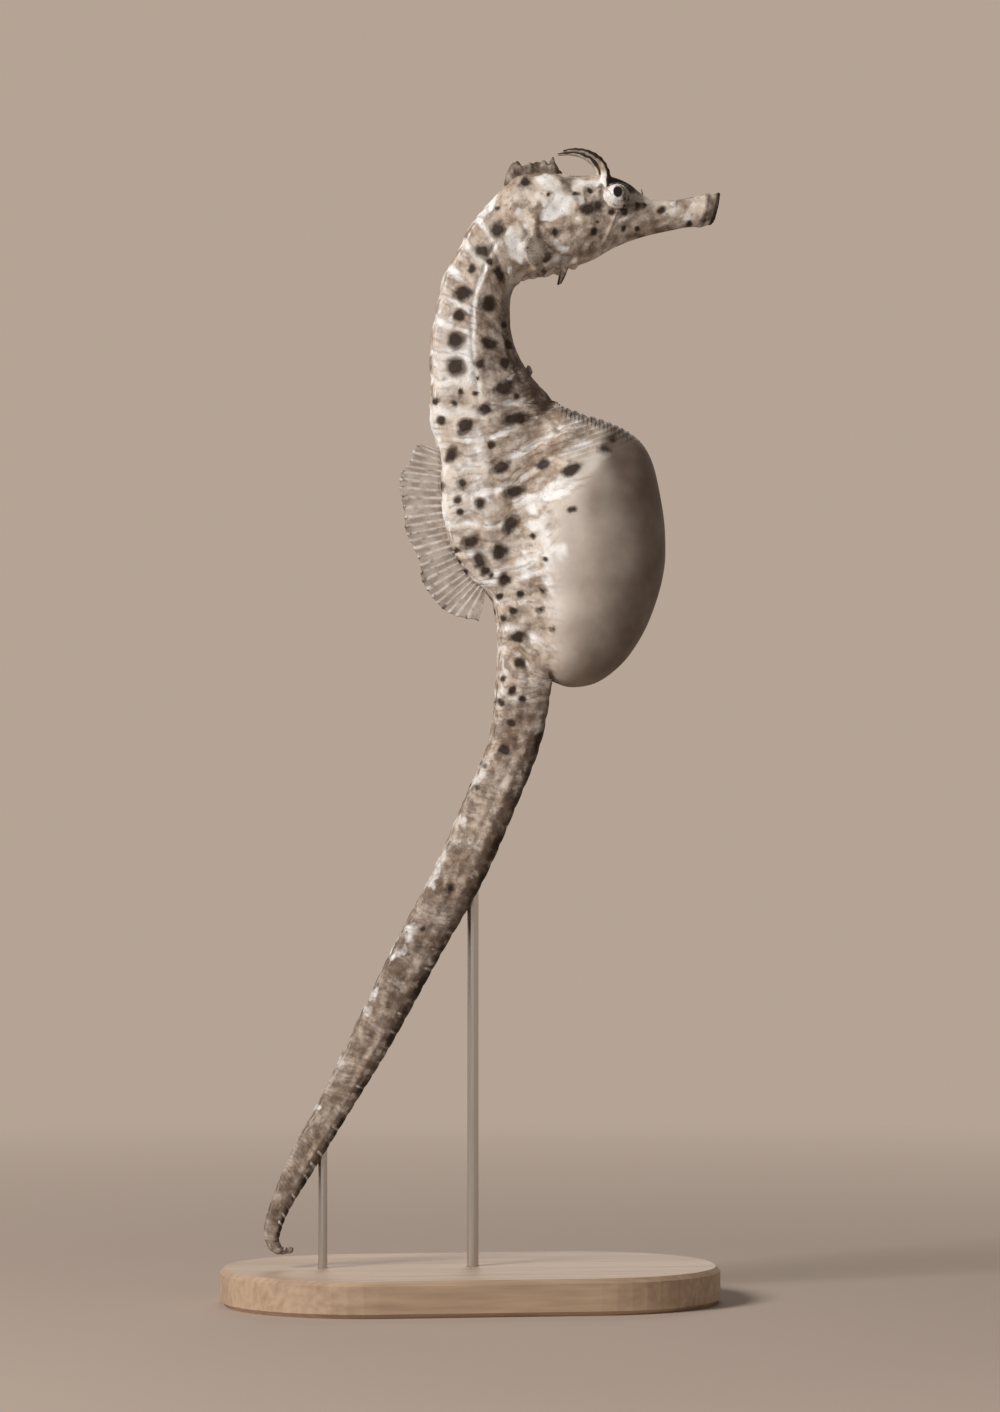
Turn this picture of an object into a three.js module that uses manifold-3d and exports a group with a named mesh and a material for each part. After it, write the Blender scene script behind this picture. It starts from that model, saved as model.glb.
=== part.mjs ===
// Big-bellied seahorse, a male with a full brood pouch: a still, life-size museum model on a plain
// display stand. Millimetres, +Z up. The animal faces +X and its mirror plane is y = 0. The origin is
// the middle of the stand's underside.
import * as THREE from 'three';
import { mergeVertices } from 'three/addons/utils/BufferGeometryUtils.js';
import Module from 'manifold-3d';

const wasm = await Module();
wasm.setup();

// ---------- driving dimensions ----------
const GAP = 0.3;               // clearance between neighbouring pieces
const FIN_THICKNESS = 0.6;     // fins are membranes, kept thick enough to make
const TRUNK_RINGS = 14;        // bony rings from the nape to the vent
const TAIL_RINGS = 45;         // bony rings from the vent to the tip of the tail
const TRUNK_RING_GROWTH = 1.12; // rings get longer from the nape down the trunk
const TAIL_RING_TAPER = 1.5;   // rings get shorter towards the tip
const RING_RELIEF = 0.035;     // how far a ring's edge stands out, as a share of the section
const HEAD_ROWS = 2;           // rows of faces for each stretch of the head
const POUCH_CLEAR_RING = 12;   // the pouch is kept clear of the tail down to this ring

const EYE_RADIUS = 2.85;
const EYE_CENTRE = new THREE.Vector3(31.9, 4.1, 243.3);
const EYE_FACES = [14, 10];    // round the eye and from its front to its back
const SPIKE_FACES = [6, 9];    // round a spine and along it
const ORBIT_RADIUS = 3.7;      // the raised rim that the eye sits in
const ORBIT_HEIGHT = 1.9;
const ORBIT_SKIRT = 0.9;       // how much wider the rim's foot is
const ORBIT_DEPTH = 1.5;       // how far the rim's foot is sunk in the head

const BASE_LENGTH = 110;
const BASE_WIDTH = 66;
const BASE_HEIGHT = 8;
const BASE_CORNER = 30;
const BASE_BEVEL = 1;
const ROD_SINK = 4;            // depth of a rod's socket in the base

// Where each stretch of the body begins, named from the lips to the tip of the tail. Back and belly are
// the outline seen from the side; half is half the width; kind is the form of the cross-section.
const LANDMARKS = [
  { back: [55.4, 245.2], belly: [53.5, 237.0], half: 2.9, kind: 'tube' },   // lips
  { back: [50.6, 244.1], belly: [49.5, 236.8], half: 2.7, kind: 'tube' },
  { back: [46.2, 243.2], belly: [46.0, 236.2], half: 2.6, kind: 'tube' },   // narrow part of the snout
  { back: [39.9, 243.4], belly: [38.3, 234.4], half: 3.2, kind: 'tube' },   // root of the snout
  { back: [35.2, 246.4], belly: [32.1, 231.9], half: 4.4, kind: 'brow' },
  { back: [30.0, 248.2], belly: [26.8, 228.8], half: 5.6, kind: 'brow' },   // eye
  { back: [24.2, 247.8], belly: [21.1, 226.8], half: 6.7, kind: 'head' },   // gill cover
  { back: [16.7, 248.4], belly: [16.0, 225.1], half: 6.9, kind: 'head' },
  { back: [11.0, 247.9], belly: [12.0, 224.6], half: 6.4, kind: 'head' },   // back of the head
  { back: [8.1, 246.0], belly: [10.5, 223.5], half: 6.0, kind: 'neck' },
  { back: [3.7, 241.3], belly: [9.5, 221.9], half: 5.6, kind: 'neck' },     // nape
  { back: [0.4, 237.2], belly: [9.0, 219.8], half: 5.5, kind: 'neck' },
  { back: [-3.3, 230.1], belly: [9.0, 216.5], half: 5.6, kind: 'neck' },
  { back: [-5.7, 225.9], belly: [9.3, 213.2], half: 5.7, kind: 'neck' },
  { back: [-7.1, 219.6], belly: [10.4, 209.4], half: 5.9, kind: 'neck' },
  { back: [-8.4, 213.2], belly: [12.2, 206.1], half: 6.1, kind: 'neck' },
  { back: [-8.8, 207.7], belly: [14.3, 203.1], half: 6.3, kind: 'neck' },
  { back: [-8.6, 201.3], belly: [17.6, 199.8], half: 6.6, kind: 'trunk' },  // breast
  { back: [-8.8, 194.5], belly: [20.3, 197.0], half: 7.0, kind: 'trunk' },  // top of the pouch
  { back: [-7.0, 186.3], belly: [23.6, 190.5], half: 7.4, kind: 'trunk' },
  { back: [-7.0, 179.3], belly: [24.6, 184.0], half: 7.6, kind: 'trunk' },
  { back: [-6.4, 172.0], belly: [24.4, 176.8], half: 7.6, kind: 'trunk' },
  { back: [-4.4, 165.4], belly: [23.3, 169.4], half: 7.5, kind: 'trunk' },
  { back: [-1.0, 159.5], belly: [22.0, 162.0], half: 7.2, kind: 'trunk' },
  { back: [3.2, 156.4], belly: [20.7, 156.2], half: 6.8, kind: 'trunk' },
  { back: [5.3, 152.6], belly: [19.6, 150.8], half: 6.4, kind: 'tail' },    // vent
  { back: [6.0, 147.2], belly: [18.8, 146.4], half: 6.0, kind: 'tail' },
  { back: [6.1, 142.8], belly: [18.4, 141.4], half: 5.7, kind: 'tail' },
  { back: [5.5, 133.6], belly: [17.7, 133.5], half: 5.3, kind: 'tail' },
  { back: [4.0, 123.0], belly: [15.3, 121.9], half: 5.0, kind: 'tail' },
  { back: [-0.7, 112.0], belly: [10.2, 109.1], half: 4.7, kind: 'tail' },
  { back: [-8.3, 94.8], belly: [3.0, 92.9], half: 4.4, kind: 'tail' },
  { back: [-16.2, 80.0], belly: [-6.4, 76.7], half: 4.0, kind: 'tail' },
  { back: [-25.7, 60.7], belly: [-17.4, 57.0], half: 3.5, kind: 'tail' },
  { back: [-33.0, 45.6], belly: [-26.4, 42.5], half: 3.0, kind: 'tail' },
  { back: [-38.9, 34.8], belly: [-34.5, 29.5], half: 2.5, kind: 'tail' },
  { back: [-43.3, 24.8], belly: [-40.0, 20.6], half: 1.9, kind: 'tail' },
  { back: [-45.5, 17.2], belly: [-42.0, 15.2], half: 1.5, kind: 'tip' },
  { back: [-44.8, 12.9], belly: [-41.9, 13.6], half: 1.15, kind: 'tip' },
  { back: [-42.6, 11.1], belly: [-41.2, 12.7], half: 0.95, kind: 'tip' },   // hook of the tail
  { back: [-39.6, 11.3], belly: [-39.8, 12.8], half: 0.75, kind: 'tip' },
];
const HEAD_START = 3.4;
const NAPE = 9.6;
const VENT = 25;
const LAST = LANDMARKS.length - 1;

// Cross-sections. Each ridge is [depth from the back, width], as shares of the section's depth and half
// width; dip is how far the back lies below its two ridges; crown is how far the faces between bulge.
const SECTIONS = {
  tube: { dip: 0.0, upper: [0.13, 0.70], flank: [0.48, 1.0], lower: [0.86, 0.70], crown: 0.07 },
  brow: { dip: 0.02, upper: [0.04, 0.60], flank: [0.50, 1.0], lower: [0.88, 0.58], crown: 0.06 },
  head: { dip: 0.0, upper: [0.05, 0.52], flank: [0.50, 1.0], lower: [0.88, 0.58], crown: 0.08 },
  neck: { dip: 0.03, upper: [0.0, 0.60], flank: [0.40, 1.0], lower: [0.84, 0.62], crown: 0.03 },
  trunk: { dip: 0.03, upper: [0.0, 0.58], flank: [0.36, 1.0], lower: [0.80, 0.74], crown: 0.03 },
  tail: { dip: 0.02, upper: [0.03, 0.78], flank: [0.50, 0.98], lower: [0.97, 0.78], crown: 0.03 },
  tip: { dip: -0.02, upper: [0.10, 0.74], flank: [0.50, 1.0], lower: [0.90, 0.74], crown: 0.05 },
};
// Faces between the midline, the upper ridge, the flank, the lower ridge and the keel.
const BODY_FACES = [2, 3, 3, 2];
const TAIL_FACES = [1, 2, 2, 1];

// Brood pouch: front is its outline from the breast round to the crease at the tail, root its line
// inside the trunk. Its width grows from its ends to its middle as a power of the sine.
const POUCH_FRONT = [
  [21.2, 196.6], [25.6, 195.4], [31.0, 193.6], [35.0, 191.8], [39.6, 187.4], [42.5, 177.7],
  [43.7, 166.4], [41.9, 155.0], [36.2, 143.4], [27.8, 136.2], [21.0, 135.3], [18.6, 136.4],
];
const POUCH_ROOT = [[20.0, 196.4], [13.0, 184.0], [9.5, 166.0], [11.5, 150.0], [18.0, 137.0]];
const POUCH_HALF_WIDTH = 13.6;
const POUCH_FULLNESS = 0.62;
const POUCH_FACES = [24, 16];

// ---------- solids ----------
function closed(geometry) {
  const bare = geometry.index ? geometry.toNonIndexed() : geometry.clone();
  bare.deleteAttribute('normal');
  bare.deleteAttribute('uv');
  const merged = mergeVertices(bare, 1e-5);
  const place = merged.attributes.position;
  const index = Array.from(merged.index.array);
  const [a, b, c] = [new THREE.Vector3(), new THREE.Vector3(), new THREE.Vector3()];
  const kept = [];
  let volume = 0;
  for (let i = 0; i < index.length; i += 3) {
    const [p, q, r] = [index[i], index[i + 1], index[i + 2]];
    if (p === q || q === r || r === p) continue;
    a.fromBufferAttribute(place, p);
    b.fromBufferAttribute(place, q);
    c.fromBufferAttribute(place, r);
    volume += a.dot(b.cross(c));
    kept.push(p, q, r);
  }
  if (volume < 0) kept.reverse();
  merged.setIndex(kept);
  return merged;
}

function solid(geometry) {
  const shape = closed(geometry);
  const mesh = new wasm.Mesh({
    numProp: 3,
    vertProperties: new Float32Array(shape.attributes.position.array),
    triVerts: new Uint32Array(shape.index.array),
  });
  return new wasm.Manifold(mesh);
}

function largest(manifold) {
  const pieces = manifold.decompose();
  return pieces.reduce((best, piece) => (piece.volume() > best.volume() ? piece : best));
}

function surface(manifold) {
  const mesh = largest(manifold).getMesh();
  const geometry = new THREE.BufferGeometry();
  geometry.setAttribute('position', new THREE.BufferAttribute(new Float32Array(mesh.vertProperties), 3));
  geometry.setIndex(new THREE.BufferAttribute(new Uint32Array(mesh.triVerts), 1));
  return geometry;
}

function mirrored(geometry) {
  return geometry.clone().applyMatrix4(new THREE.Matrix4().makeScale(1, -1, 1));
}

// ---------- body ----------
function smoothCurve(points) {
  return new THREE.CatmullRomCurve3(points, false, 'catmullrom', 0.5);
}

const backLine = smoothCurve(LANDMARKS.map((mark) => new THREE.Vector3(mark.back[0], 0, mark.back[1])));
const bellyLine = smoothCurve(LANDMARKS.map((mark) => new THREE.Vector3(mark.belly[0], 0, mark.belly[1])));
const halfWidths = smoothCurve(LANDMARKS.map((mark) => new THREE.Vector3(mark.half, 0, 0)));

function middle(station) {
  return backLine.getPoint(station / LAST).add(bellyLine.getPoint(station / LAST)).multiplyScalar(0.5);
}

function mix(from, to, share) {
  return from + (to - from) * share;
}

function sectionAt(station) {
  const before = Math.min(Math.floor(station), LAST - 1);
  const share = station - before;
  const from = SECTIONS[LANDMARKS[before].kind];
  const to = SECTIONS[LANDMARKS[before + 1].kind];
  const ridge = (name) => [0, 1].map((i) => mix(from[name][i], to[name][i], share));
  return {
    corners: [[mix(from.dip, to.dip, share), 0], ridge('upper'), ridge('flank'), ridge('lower'), [1, 0]],
    crown: mix(from.crown, to.crown, share),
  };
}

// Half of a cross-section, from the middle of the back round one flank to the keel, as shares of its
// depth and half width.
function halfOutline(station, relief, ridgeFaces) {
  const { corners, crown } = sectionAt(station);
  const outline = [];
  ridgeFaces.forEach((faces, side) => {
    for (let face = 0; face < faces; face += 1) {
      const share = face / faces;
      const swell = 4 * share * (1 - share) * crown;
      const [depth, width] = [0, 1].map((i) => mix(corners[side][i], corners[side + 1][i], share));
      const outward = [(depth - 0.5) * swell * 2, Math.max(width, 0.3) * swell];
      const ridge = face === 0 && side > 0 ? relief : 0;
      const reach = width * (1 + ridge) + outward[1] * (side > 0);
      outline.push([depth + outward[0] + (depth - 0.5) * ridge, reach]);
    }
  });
  outline.push([1, 0]);
  return outline;
}

function bodyPoint({ station, relief }, angle, ridgeFaces, grow) {
  const back = backLine.getPoint(station / LAST);
  const belly = bellyLine.getPoint(station / LAST);
  const outline = halfOutline(station, relief, ridgeFaces);
  const steps = outline.length - 1;
  const turn = angle / Math.PI;
  const side = turn > 1 ? -1 : 1;
  const [depth, width] = outline[Math.round((turn > 1 ? 2 - turn : turn) * steps)];
  const across = belly.clone().sub(back);
  const stretch = grow / across.length();
  const point = back.addScaledVector(across, depth + (depth - 0.5) * 2 * stretch);
  point.y = side * width * (halfWidths.getPoint(station / LAST).x + grow);
  return point;
}

// A closed length of the body: a cylinder whose vertices are moved onto the body's cross-sections.
function bodyLength(rows, ridgeFaces = BODY_FACES, grow = 0) {
  const columns = 2 * ridgeFaces.reduce((sum, faces) => sum + faces, 0);
  const cylinder = new THREE.CylinderGeometry(1, 1, 1, columns, rows.length - 1);
  const place = cylinder.attributes.position;
  for (let i = 0; i < place.count; i += 1) {
    const row = rows[Math.round((0.5 - place.getY(i)) * (rows.length - 1))];
    const axis = Math.hypot(place.getX(i), place.getZ(i)) < 0.5;
    const angle = (Math.atan2(place.getX(i), place.getZ(i)) + 2 * Math.PI) % (2 * Math.PI);
    const point = axis ? middle(row.station) : bodyPoint(row, angle, ridgeFaces, grow);
    place.setXYZ(i, point.x, point.y, point.z);
  }
  return cylinder;
}

// Distance along the middle of the body, and the station found at a distance.
const TRACK_STEPS = 800;
const track = [0];
for (let step = 1; step <= TRACK_STEPS; step += 1) {
  const hop = middle((step - 1) / TRACK_STEPS * LAST).distanceTo(middle(step / TRACK_STEPS * LAST));
  track.push(track[step - 1] + hop);
}

function distanceTo(station) {
  const place = station / LAST * TRACK_STEPS;
  const before = Math.min(Math.floor(place), TRACK_STEPS - 1);
  return mix(track[before], track[before + 1], place - before);
}

function stationAt(distance) {
  const after = Math.max(1, track.findIndex((reach) => reach >= distance));
  const share = (distance - track[after - 1]) / (track[after] - track[after - 1]);
  return (after - 1 + share) / TRACK_STEPS * LAST;
}

function trunkRing(number) {
  const share = (number / TRUNK_RINGS) ** TRUNK_RING_GROWTH;
  return stationAt(mix(distanceTo(NAPE), distanceTo(VENT), share));
}

function tailRing(number) {
  const share = 1 - (1 - number / TAIL_RINGS) ** TAIL_RING_TAPER;
  return number >= TAIL_RINGS ? LAST : stationAt(mix(distanceTo(VENT), distanceTo(LAST), share));
}

// Rows of a length between two rings: a raised row at each ring's edge and a lower one at its middle.
function ringRows(ringAt, first, last) {
  const rows = [];
  for (let half = first * 2; half <= last * 2; half += 1) {
    rows.push({ station: ringAt(half / 2), relief: half % 2 === 0 ? RING_RELIEF : -RING_RELIEF / 2 });
  }
  return rows;
}

function plainRows(from, to) {
  const count = Math.max(2, Math.round((to - from) * HEAD_ROWS));
  return Array.from({ length: count + 1 }, (_, i) => ({ station: mix(from, to, i / count), relief: 0 }));
}

// The cut face between two lengths is moved back so that the pieces stay clear of each other.
function parted(rows, atStart, atEnd) {
  const trimmed = rows.map((row) => ({ ...row }));
  const last = trimmed.length - 1;
  if (atStart) trimmed[0].station = stationAt(distanceTo(rows[0].station) + GAP);
  if (atEnd) trimmed[last].station = stationAt(distanceTo(rows[last].station) - GAP);
  return trimmed;
}

// ---------- head ----------
function eyeGeometry(grow) {
  const ball = new THREE.SphereGeometry(EYE_RADIUS + grow, ...EYE_FACES).rotateX(Math.PI / 2);
  return ball.translate(...EYE_CENTRE.toArray());
}

function orbitGeometry() {
  const profile = [[0, -ORBIT_DEPTH], [ORBIT_RADIUS + ORBIT_SKIRT, -ORBIT_DEPTH], [ORBIT_RADIUS, 0.4],
    [EYE_RADIUS + 0.2, ORBIT_HEIGHT], [0, ORBIT_HEIGHT]];
  const rim = new THREE.LatheGeometry(profile.map(([r, h]) => new THREE.Vector2(r, h)), EYE_FACES[0]);
  return rim.translate(...EYE_CENTRE.toArray());
}

// The gill cover is the cheek's domed plate, cut free of the head all round and behind.
const GILL_COVER = { x: 21.2, z: 235.6, length: 5.4, height: 6.6, inner: 4.6, reach: 6 };

function gillCoverTool(grow) {
  const tool = new THREE.CylinderGeometry(1, 1, GILL_COVER.reach + grow, 16);
  tool.scale(GILL_COVER.length + grow, 1, GILL_COVER.height + grow);
  const middleY = GILL_COVER.inner - grow + (GILL_COVER.reach + grow) / 2;
  return tool.translate(GILL_COVER.x, middleY, GILL_COVER.z);
}

// A tapering spike along a curve, with a round tip.
function spike(points, rootRadius, tipRadius, flatness = 1) {
  const curve = new THREE.CatmullRomCurve3(points);
  const cylinder = new THREE.CylinderGeometry(1, 1, 1, ...SPIKE_FACES);
  const place = cylinder.attributes.position;
  for (let i = 0; i < place.count; i += 1) {
    const share = 0.5 - place.getY(i);
    const centre = curve.getPointAt(share);
    const along = curve.getTangentAt(share);
    const across = new THREE.Vector3(0, 1, 0).cross(along).normalize();
    const aside = along.clone().cross(across);
    const radius = mix(rootRadius, tipRadius, share ** 0.8);
    centre.addScaledVector(across, place.getX(i) * radius);
    centre.addScaledVector(aside, place.getZ(i) * radius * flatness);
    place.setXYZ(i, centre.x, centre.y, centre.z);
  }
  return cylinder;
}

// The eye spine rises above the eye and arches back over the head.
function eyeSpineGeometry() {
  const arch = [[30.0, 3.3, 245.8], [29.6, 3.6, 249.0], [28.1, 3.9, 251.3], [25.6, 4.1, 252.8],
    [22.6, 4.2, 253.3], [19.9, 4.2, 253.0]];
  return spike(arch.map((point) => new THREE.Vector3(...point)), 1.1, 0.4, 0.9);
}

function throatSpines() {
  const hook = [[20.2, 2.2, 227.6], [19.9, 2.4, 225.6], [19.6, 2.5, 223.9]];
  return spike(hook.map((point) => new THREE.Vector3(...point)), 0.8, 0.3);
}

// The coronet is a low wedge of bone on the crown, notched along its top.
const CORONET = {
  profile: [
    [8.4, 245.4], [8.0, 247.4], [8.5, 250.3], [10.2, 250.8], [11.6, 250.4], [13.2, 251.0],
    [14.8, 250.6], [16.6, 251.2], [17.6, 250.7], [18.5, 252.0], [19.2, 250.6], [20.2, 249.0],
    [21.4, 247.6], [16.0, 246.6],
  ],
  width: 2.4,
  bevel: 0.7,
};

function plate(points, width, bevel) {
  const shape = new THREE.Shape(points.map(([x, z]) => new THREE.Vector2(x, z)));
  const options = {
    depth: width,
    steps: 1,
    bevelEnabled: bevel > 0,
    bevelThickness: bevel,
    bevelSize: bevel / 2,
    bevelOffset: -bevel / 2,
    bevelSegments: 1,
  };
  return new THREE.ExtrudeGeometry(shape, options).rotateX(Math.PI / 2).translate(0, width / 2, 0);
}

// ---------- fins ----------
const DORSAL_RAYS = 27;
const SCALLOP = 0.35;
const DORSAL_EDGE = [
  [-7.6, 187.8], [-11.9, 188.3], [-13.4, 184.8], [-15.3, 182.2], [-15.7, 178.4],
  [-14.6, 173.8], [-14.4, 169.6], [-12.9, 166.5], [-11.3, 162.6], [-10.8, 159.1],
  [-8.8, 155.4], [-6.4, 152.7], [-3.3, 150.9], [1.9, 149.8],
];
const DORSAL_ROOT = [
  [3.6, 156.6], [0.6, 160.6], [-2.4, 166.6], [-4.6, 174.0], [-5.2, 182.0], [-5.6, 187.6],
];
const ANAL_OUTLINE = [
  [11.4, 205.6], [13.1, 206.9], [13.9, 206.2], [14.3, 204.9], [13.6, 203.0], [11.8, 203.4],
];

function flatCurve(points) {
  return new THREE.CatmullRomCurve3(points.map(([x, z]) => new THREE.Vector3(x, 0, z)));
}

function scalloped(points, rays) {
  const edge = flatCurve(points);
  return Array.from({ length: rays * 2 + 1 }, (_, i) => {
    const point = edge.getPointAt(i / (rays * 2));
    const along = edge.getTangentAt(i / (rays * 2));
    const out = i % 2 === 0 ? SCALLOP / 2 : -SCALLOP / 2;
    return [point.x + along.z * out, point.z - along.x * out];
  });
}

function dorsalFinGeometry() {
  const outline = scalloped(DORSAL_EDGE, DORSAL_RAYS).concat(DORSAL_ROOT);
  return plate(outline, FIN_THICKNESS, 0);
}

const PECTORAL = {
  root: new THREE.Vector3(15.0, 6.9, 231.0),
  length: 4.4,
  halfHeight: 3.0,
  spread: 0.62,                // half the angle that the rays fan out over
  splay: 0.5,                  // the angle at which the fin stands out from the body
  rays: 8,
};

function pectoralFinGeometry() {
  const outline = [[0, -2], [0, 2]];
  for (let i = 0; i <= PECTORAL.rays * 2; i += 1) {
    const angle = mix(PECTORAL.spread, -PECTORAL.spread, i / (PECTORAL.rays * 2));
    const reach = PECTORAL.length + (i % 2 === 0 ? SCALLOP / 2 : -SCALLOP / 2);
    const rise = PECTORAL.halfHeight * Math.sin(angle) / Math.sin(PECTORAL.spread);
    outline.push([-reach * Math.cos(angle), rise]);
  }
  const fin = plate(outline, FIN_THICKNESS, 0);
  return fin.rotateZ(-PECTORAL.splay).translate(...PECTORAL.root.toArray());
}

function analFinGeometry() {
  return plate(ANAL_OUTLINE, FIN_THICKNESS, 0);
}

// ---------- pouch ----------
function pouchGeometry() {
  const front = flatCurve(POUCH_FRONT);
  const root = flatCurve(POUCH_ROOT);
  const sphere = new THREE.SphereGeometry(1, ...POUCH_FACES);
  const place = sphere.attributes.position;
  for (let i = 0; i < place.count; i += 1) {
    const down = Math.acos(THREE.MathUtils.clamp(place.getY(i), -1, 1)) / Math.PI;
    const round = Math.hypot(place.getX(i), place.getZ(i));
    const [cosine, sine] = round < 1e-6 ? [1, 0] : [place.getX(i) / round, place.getZ(i) / round];
    const [tip, heel] = [front.getPointAt(down), root.getPointAt(down)];
    const centre = tip.clone().add(heel).multiplyScalar(0.5);
    centre.addScaledVector(tip.sub(heel), cosine / 2);
    centre.y = sine * POUCH_HALF_WIDTH * Math.sin(Math.PI * down) ** POUCH_FULLNESS;
    if (round < 1e-6) centre.copy(down < 0.5 ? front.getPoint(0) : front.getPoint(1));
    place.setXYZ(i, centre.x, centre.y, centre.z);
  }
  return sphere;
}

// ---------- stand ----------
const RODS = {
  stand_rod_main: { x: 0.6, top: 92.0, radius: 1.25 },
  stand_rod_rear: { x: -32.6, top: 36.0, radius: 1.0 },
};

function rodGeometry(rod, grow = 0) {
  const foot = BASE_HEIGHT - ROD_SINK + (grow > 0 ? -grow : 0);
  const height = rod.top + grow - foot;
  const shaft = new THREE.CylinderGeometry(rod.radius + grow, rod.radius + grow, height, 12);
  return shaft.rotateX(Math.PI / 2).translate(rod.x, 0, foot + height / 2);
}

function baseGeometry() {
  const halfLength = BASE_LENGTH / 2 - BASE_CORNER - BASE_BEVEL;
  const halfWidth = BASE_WIDTH / 2 - BASE_CORNER - BASE_BEVEL;
  const outline = new THREE.Shape();
  const corners = [[1, 1], [-1, 1], [-1, -1], [1, -1]];
  corners.forEach(([x, y], quarter) => {
    const [from, to] = [quarter * Math.PI / 2, (quarter + 1) * Math.PI / 2];
    outline.absarc(x * halfLength, y * halfWidth, BASE_CORNER, from, to, false);
  });
  const options = {
    depth: BASE_HEIGHT - 2 * BASE_BEVEL,
    steps: 1,
    curveSegments: 7,
    bevelEnabled: true,
    bevelThickness: BASE_BEVEL,
    bevelSize: BASE_BEVEL,
    bevelSegments: 1,
  };
  return new THREE.ExtrudeGeometry(outline, options).translate(0, 0, BASE_BEVEL);
}

// ---------- assembly ----------
const SKIN = { pale: 0xd8cdc3, mottled: 0xa8998c, dusky: 0x6b5d55 };
const EYE = 0xd9d0c4;
const OAK = 0xc9b089;
const STEEL = 0x9a9a98;
const NECK_RINGS = 6;
const CHEST_RINGS = 10;
const seahorse = new THREE.Group();

function add(name, geometry, color, roughness = 0.7, metalness = 0) {
  const material = new THREE.MeshStandardMaterial({ color, roughness, metalness });
  const mesh = new THREE.Mesh(closed(geometry), material);
  mesh.name = name;
  seahorse.add(mesh);
}

function addPair(name, geometry, color, roughness) {
  add(`${name}_left`, geometry, color, roughness);
  add(`${name}_right`, mirrored(geometry), color, roughness);
}

function bothSides(geometry) {
  return solid(geometry).add(solid(mirrored(geometry)));
}

const rodSockets = Object.values(RODS).map((rod) => solid(rodGeometry(rod, GAP)));
const foreRows = [
  ...plainRows(0, HEAD_START),
  ...plainRows(HEAD_START, NAPE).slice(1, -1),
  ...ringRows(trunkRing, 0, TRUNK_RINGS),
  ...ringRows(tailRing, 0, POUCH_CLEAR_RING).slice(1),
];
const wholeBody = solid(bodyLength(foreRows, BODY_FACES, GAP));

function addHead() {
  const sockets = bothSides(eyeGeometry(GAP));
  const bare = solid(bodyLength(parted(plainRows(HEAD_START, NAPE), true, true)))
    .add(bothSides(orbitGeometry()))
    .subtract(sockets);
  const head = bare.add(bothSides(throatSpines())).subtract(bothSides(gillCoverTool(GAP)));
  add('head', surface(head), SKIN.pale);
  const cover = bare.intersect(solid(gillCoverTool(0)));
  addPair('gill_cover', surface(cover), SKIN.pale);
  addPair('eye', eyeGeometry(0), EYE, 0.15);
  const spine = solid(eyeSpineGeometry()).subtract(wholeBody.add(bothSides(orbitGeometry())));
  addPair('eye_spine', surface(spine), SKIN.pale);
  const crown = solid(plate(CORONET.profile, CORONET.width, CORONET.bevel)).subtract(wholeBody);
  add('coronet', surface(crown), SKIN.dusky);
  add('snout', bodyLength(parted(plainRows(0, HEAD_START), false, true)), SKIN.mottled);
}

function addTrunk() {
  add('neck', bodyLength(parted(ringRows(trunkRing, 0, NECK_RINGS), true, true)), SKIN.pale);
  const upperRows = parted(ringRows(trunkRing, NECK_RINGS, CHEST_RINGS), true, true);
  add('trunk_upper', bodyLength(upperRows), SKIN.pale);
  const lowerRows = parted(ringRows(trunkRing, CHEST_RINGS, TRUNK_RINGS), true, true);
  add('trunk_lower', bodyLength(lowerRows), SKIN.pale);
  add('pouch', surface(solid(pouchGeometry()).subtract(wholeBody)), SKIN.mottled, 0.55);
}

function addFins() {
  add('dorsal_fin', surface(solid(dorsalFinGeometry()).subtract(wholeBody)), SKIN.mottled, 0.5);
  addPair('pectoral_fin', surface(solid(pectoralFinGeometry()).subtract(wholeBody)), SKIN.mottled, 0.5);
  const clear = wholeBody.add(solid(pouchGeometry()));
  add('anal_fin', surface(solid(analFinGeometry()).subtract(clear)), SKIN.mottled, 0.5);
}

function addTail() {
  const ends = [0, 5, 12, 20, 29, 38, TAIL_RINGS];
  const wideLengths = 2;
  const names = ['tail_base', 'tail_upper', 'tail_middle', 'tail_lower', 'tail_end', 'tail_tip'];
  names.forEach((name, i) => {
    const rows = parted(ringRows(tailRing, ends[i], ends[i + 1]), true, i < names.length - 1);
    const faces = i < wideLengths ? BODY_FACES : TAIL_FACES;
    const whole = solid(bodyLength(rows, faces));
    const length = rodSockets.reduce((piece, socket) => piece.subtract(socket), whole);
    add(name, surface(length), i < wideLengths ? SKIN.pale : SKIN.mottled);
  });
}

function addStand() {
  const base = rodSockets.reduce((piece, socket) => piece.subtract(socket), solid(baseGeometry()));
  add('stand_base', surface(base), OAK, 0.45);
  Object.entries(RODS).forEach(([name, rod]) => add(name, rodGeometry(rod), STEEL, 0.3, 1));
}

addHead();
addTrunk();
addFins();
addTail();
addStand();

export default seahorse;
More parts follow.
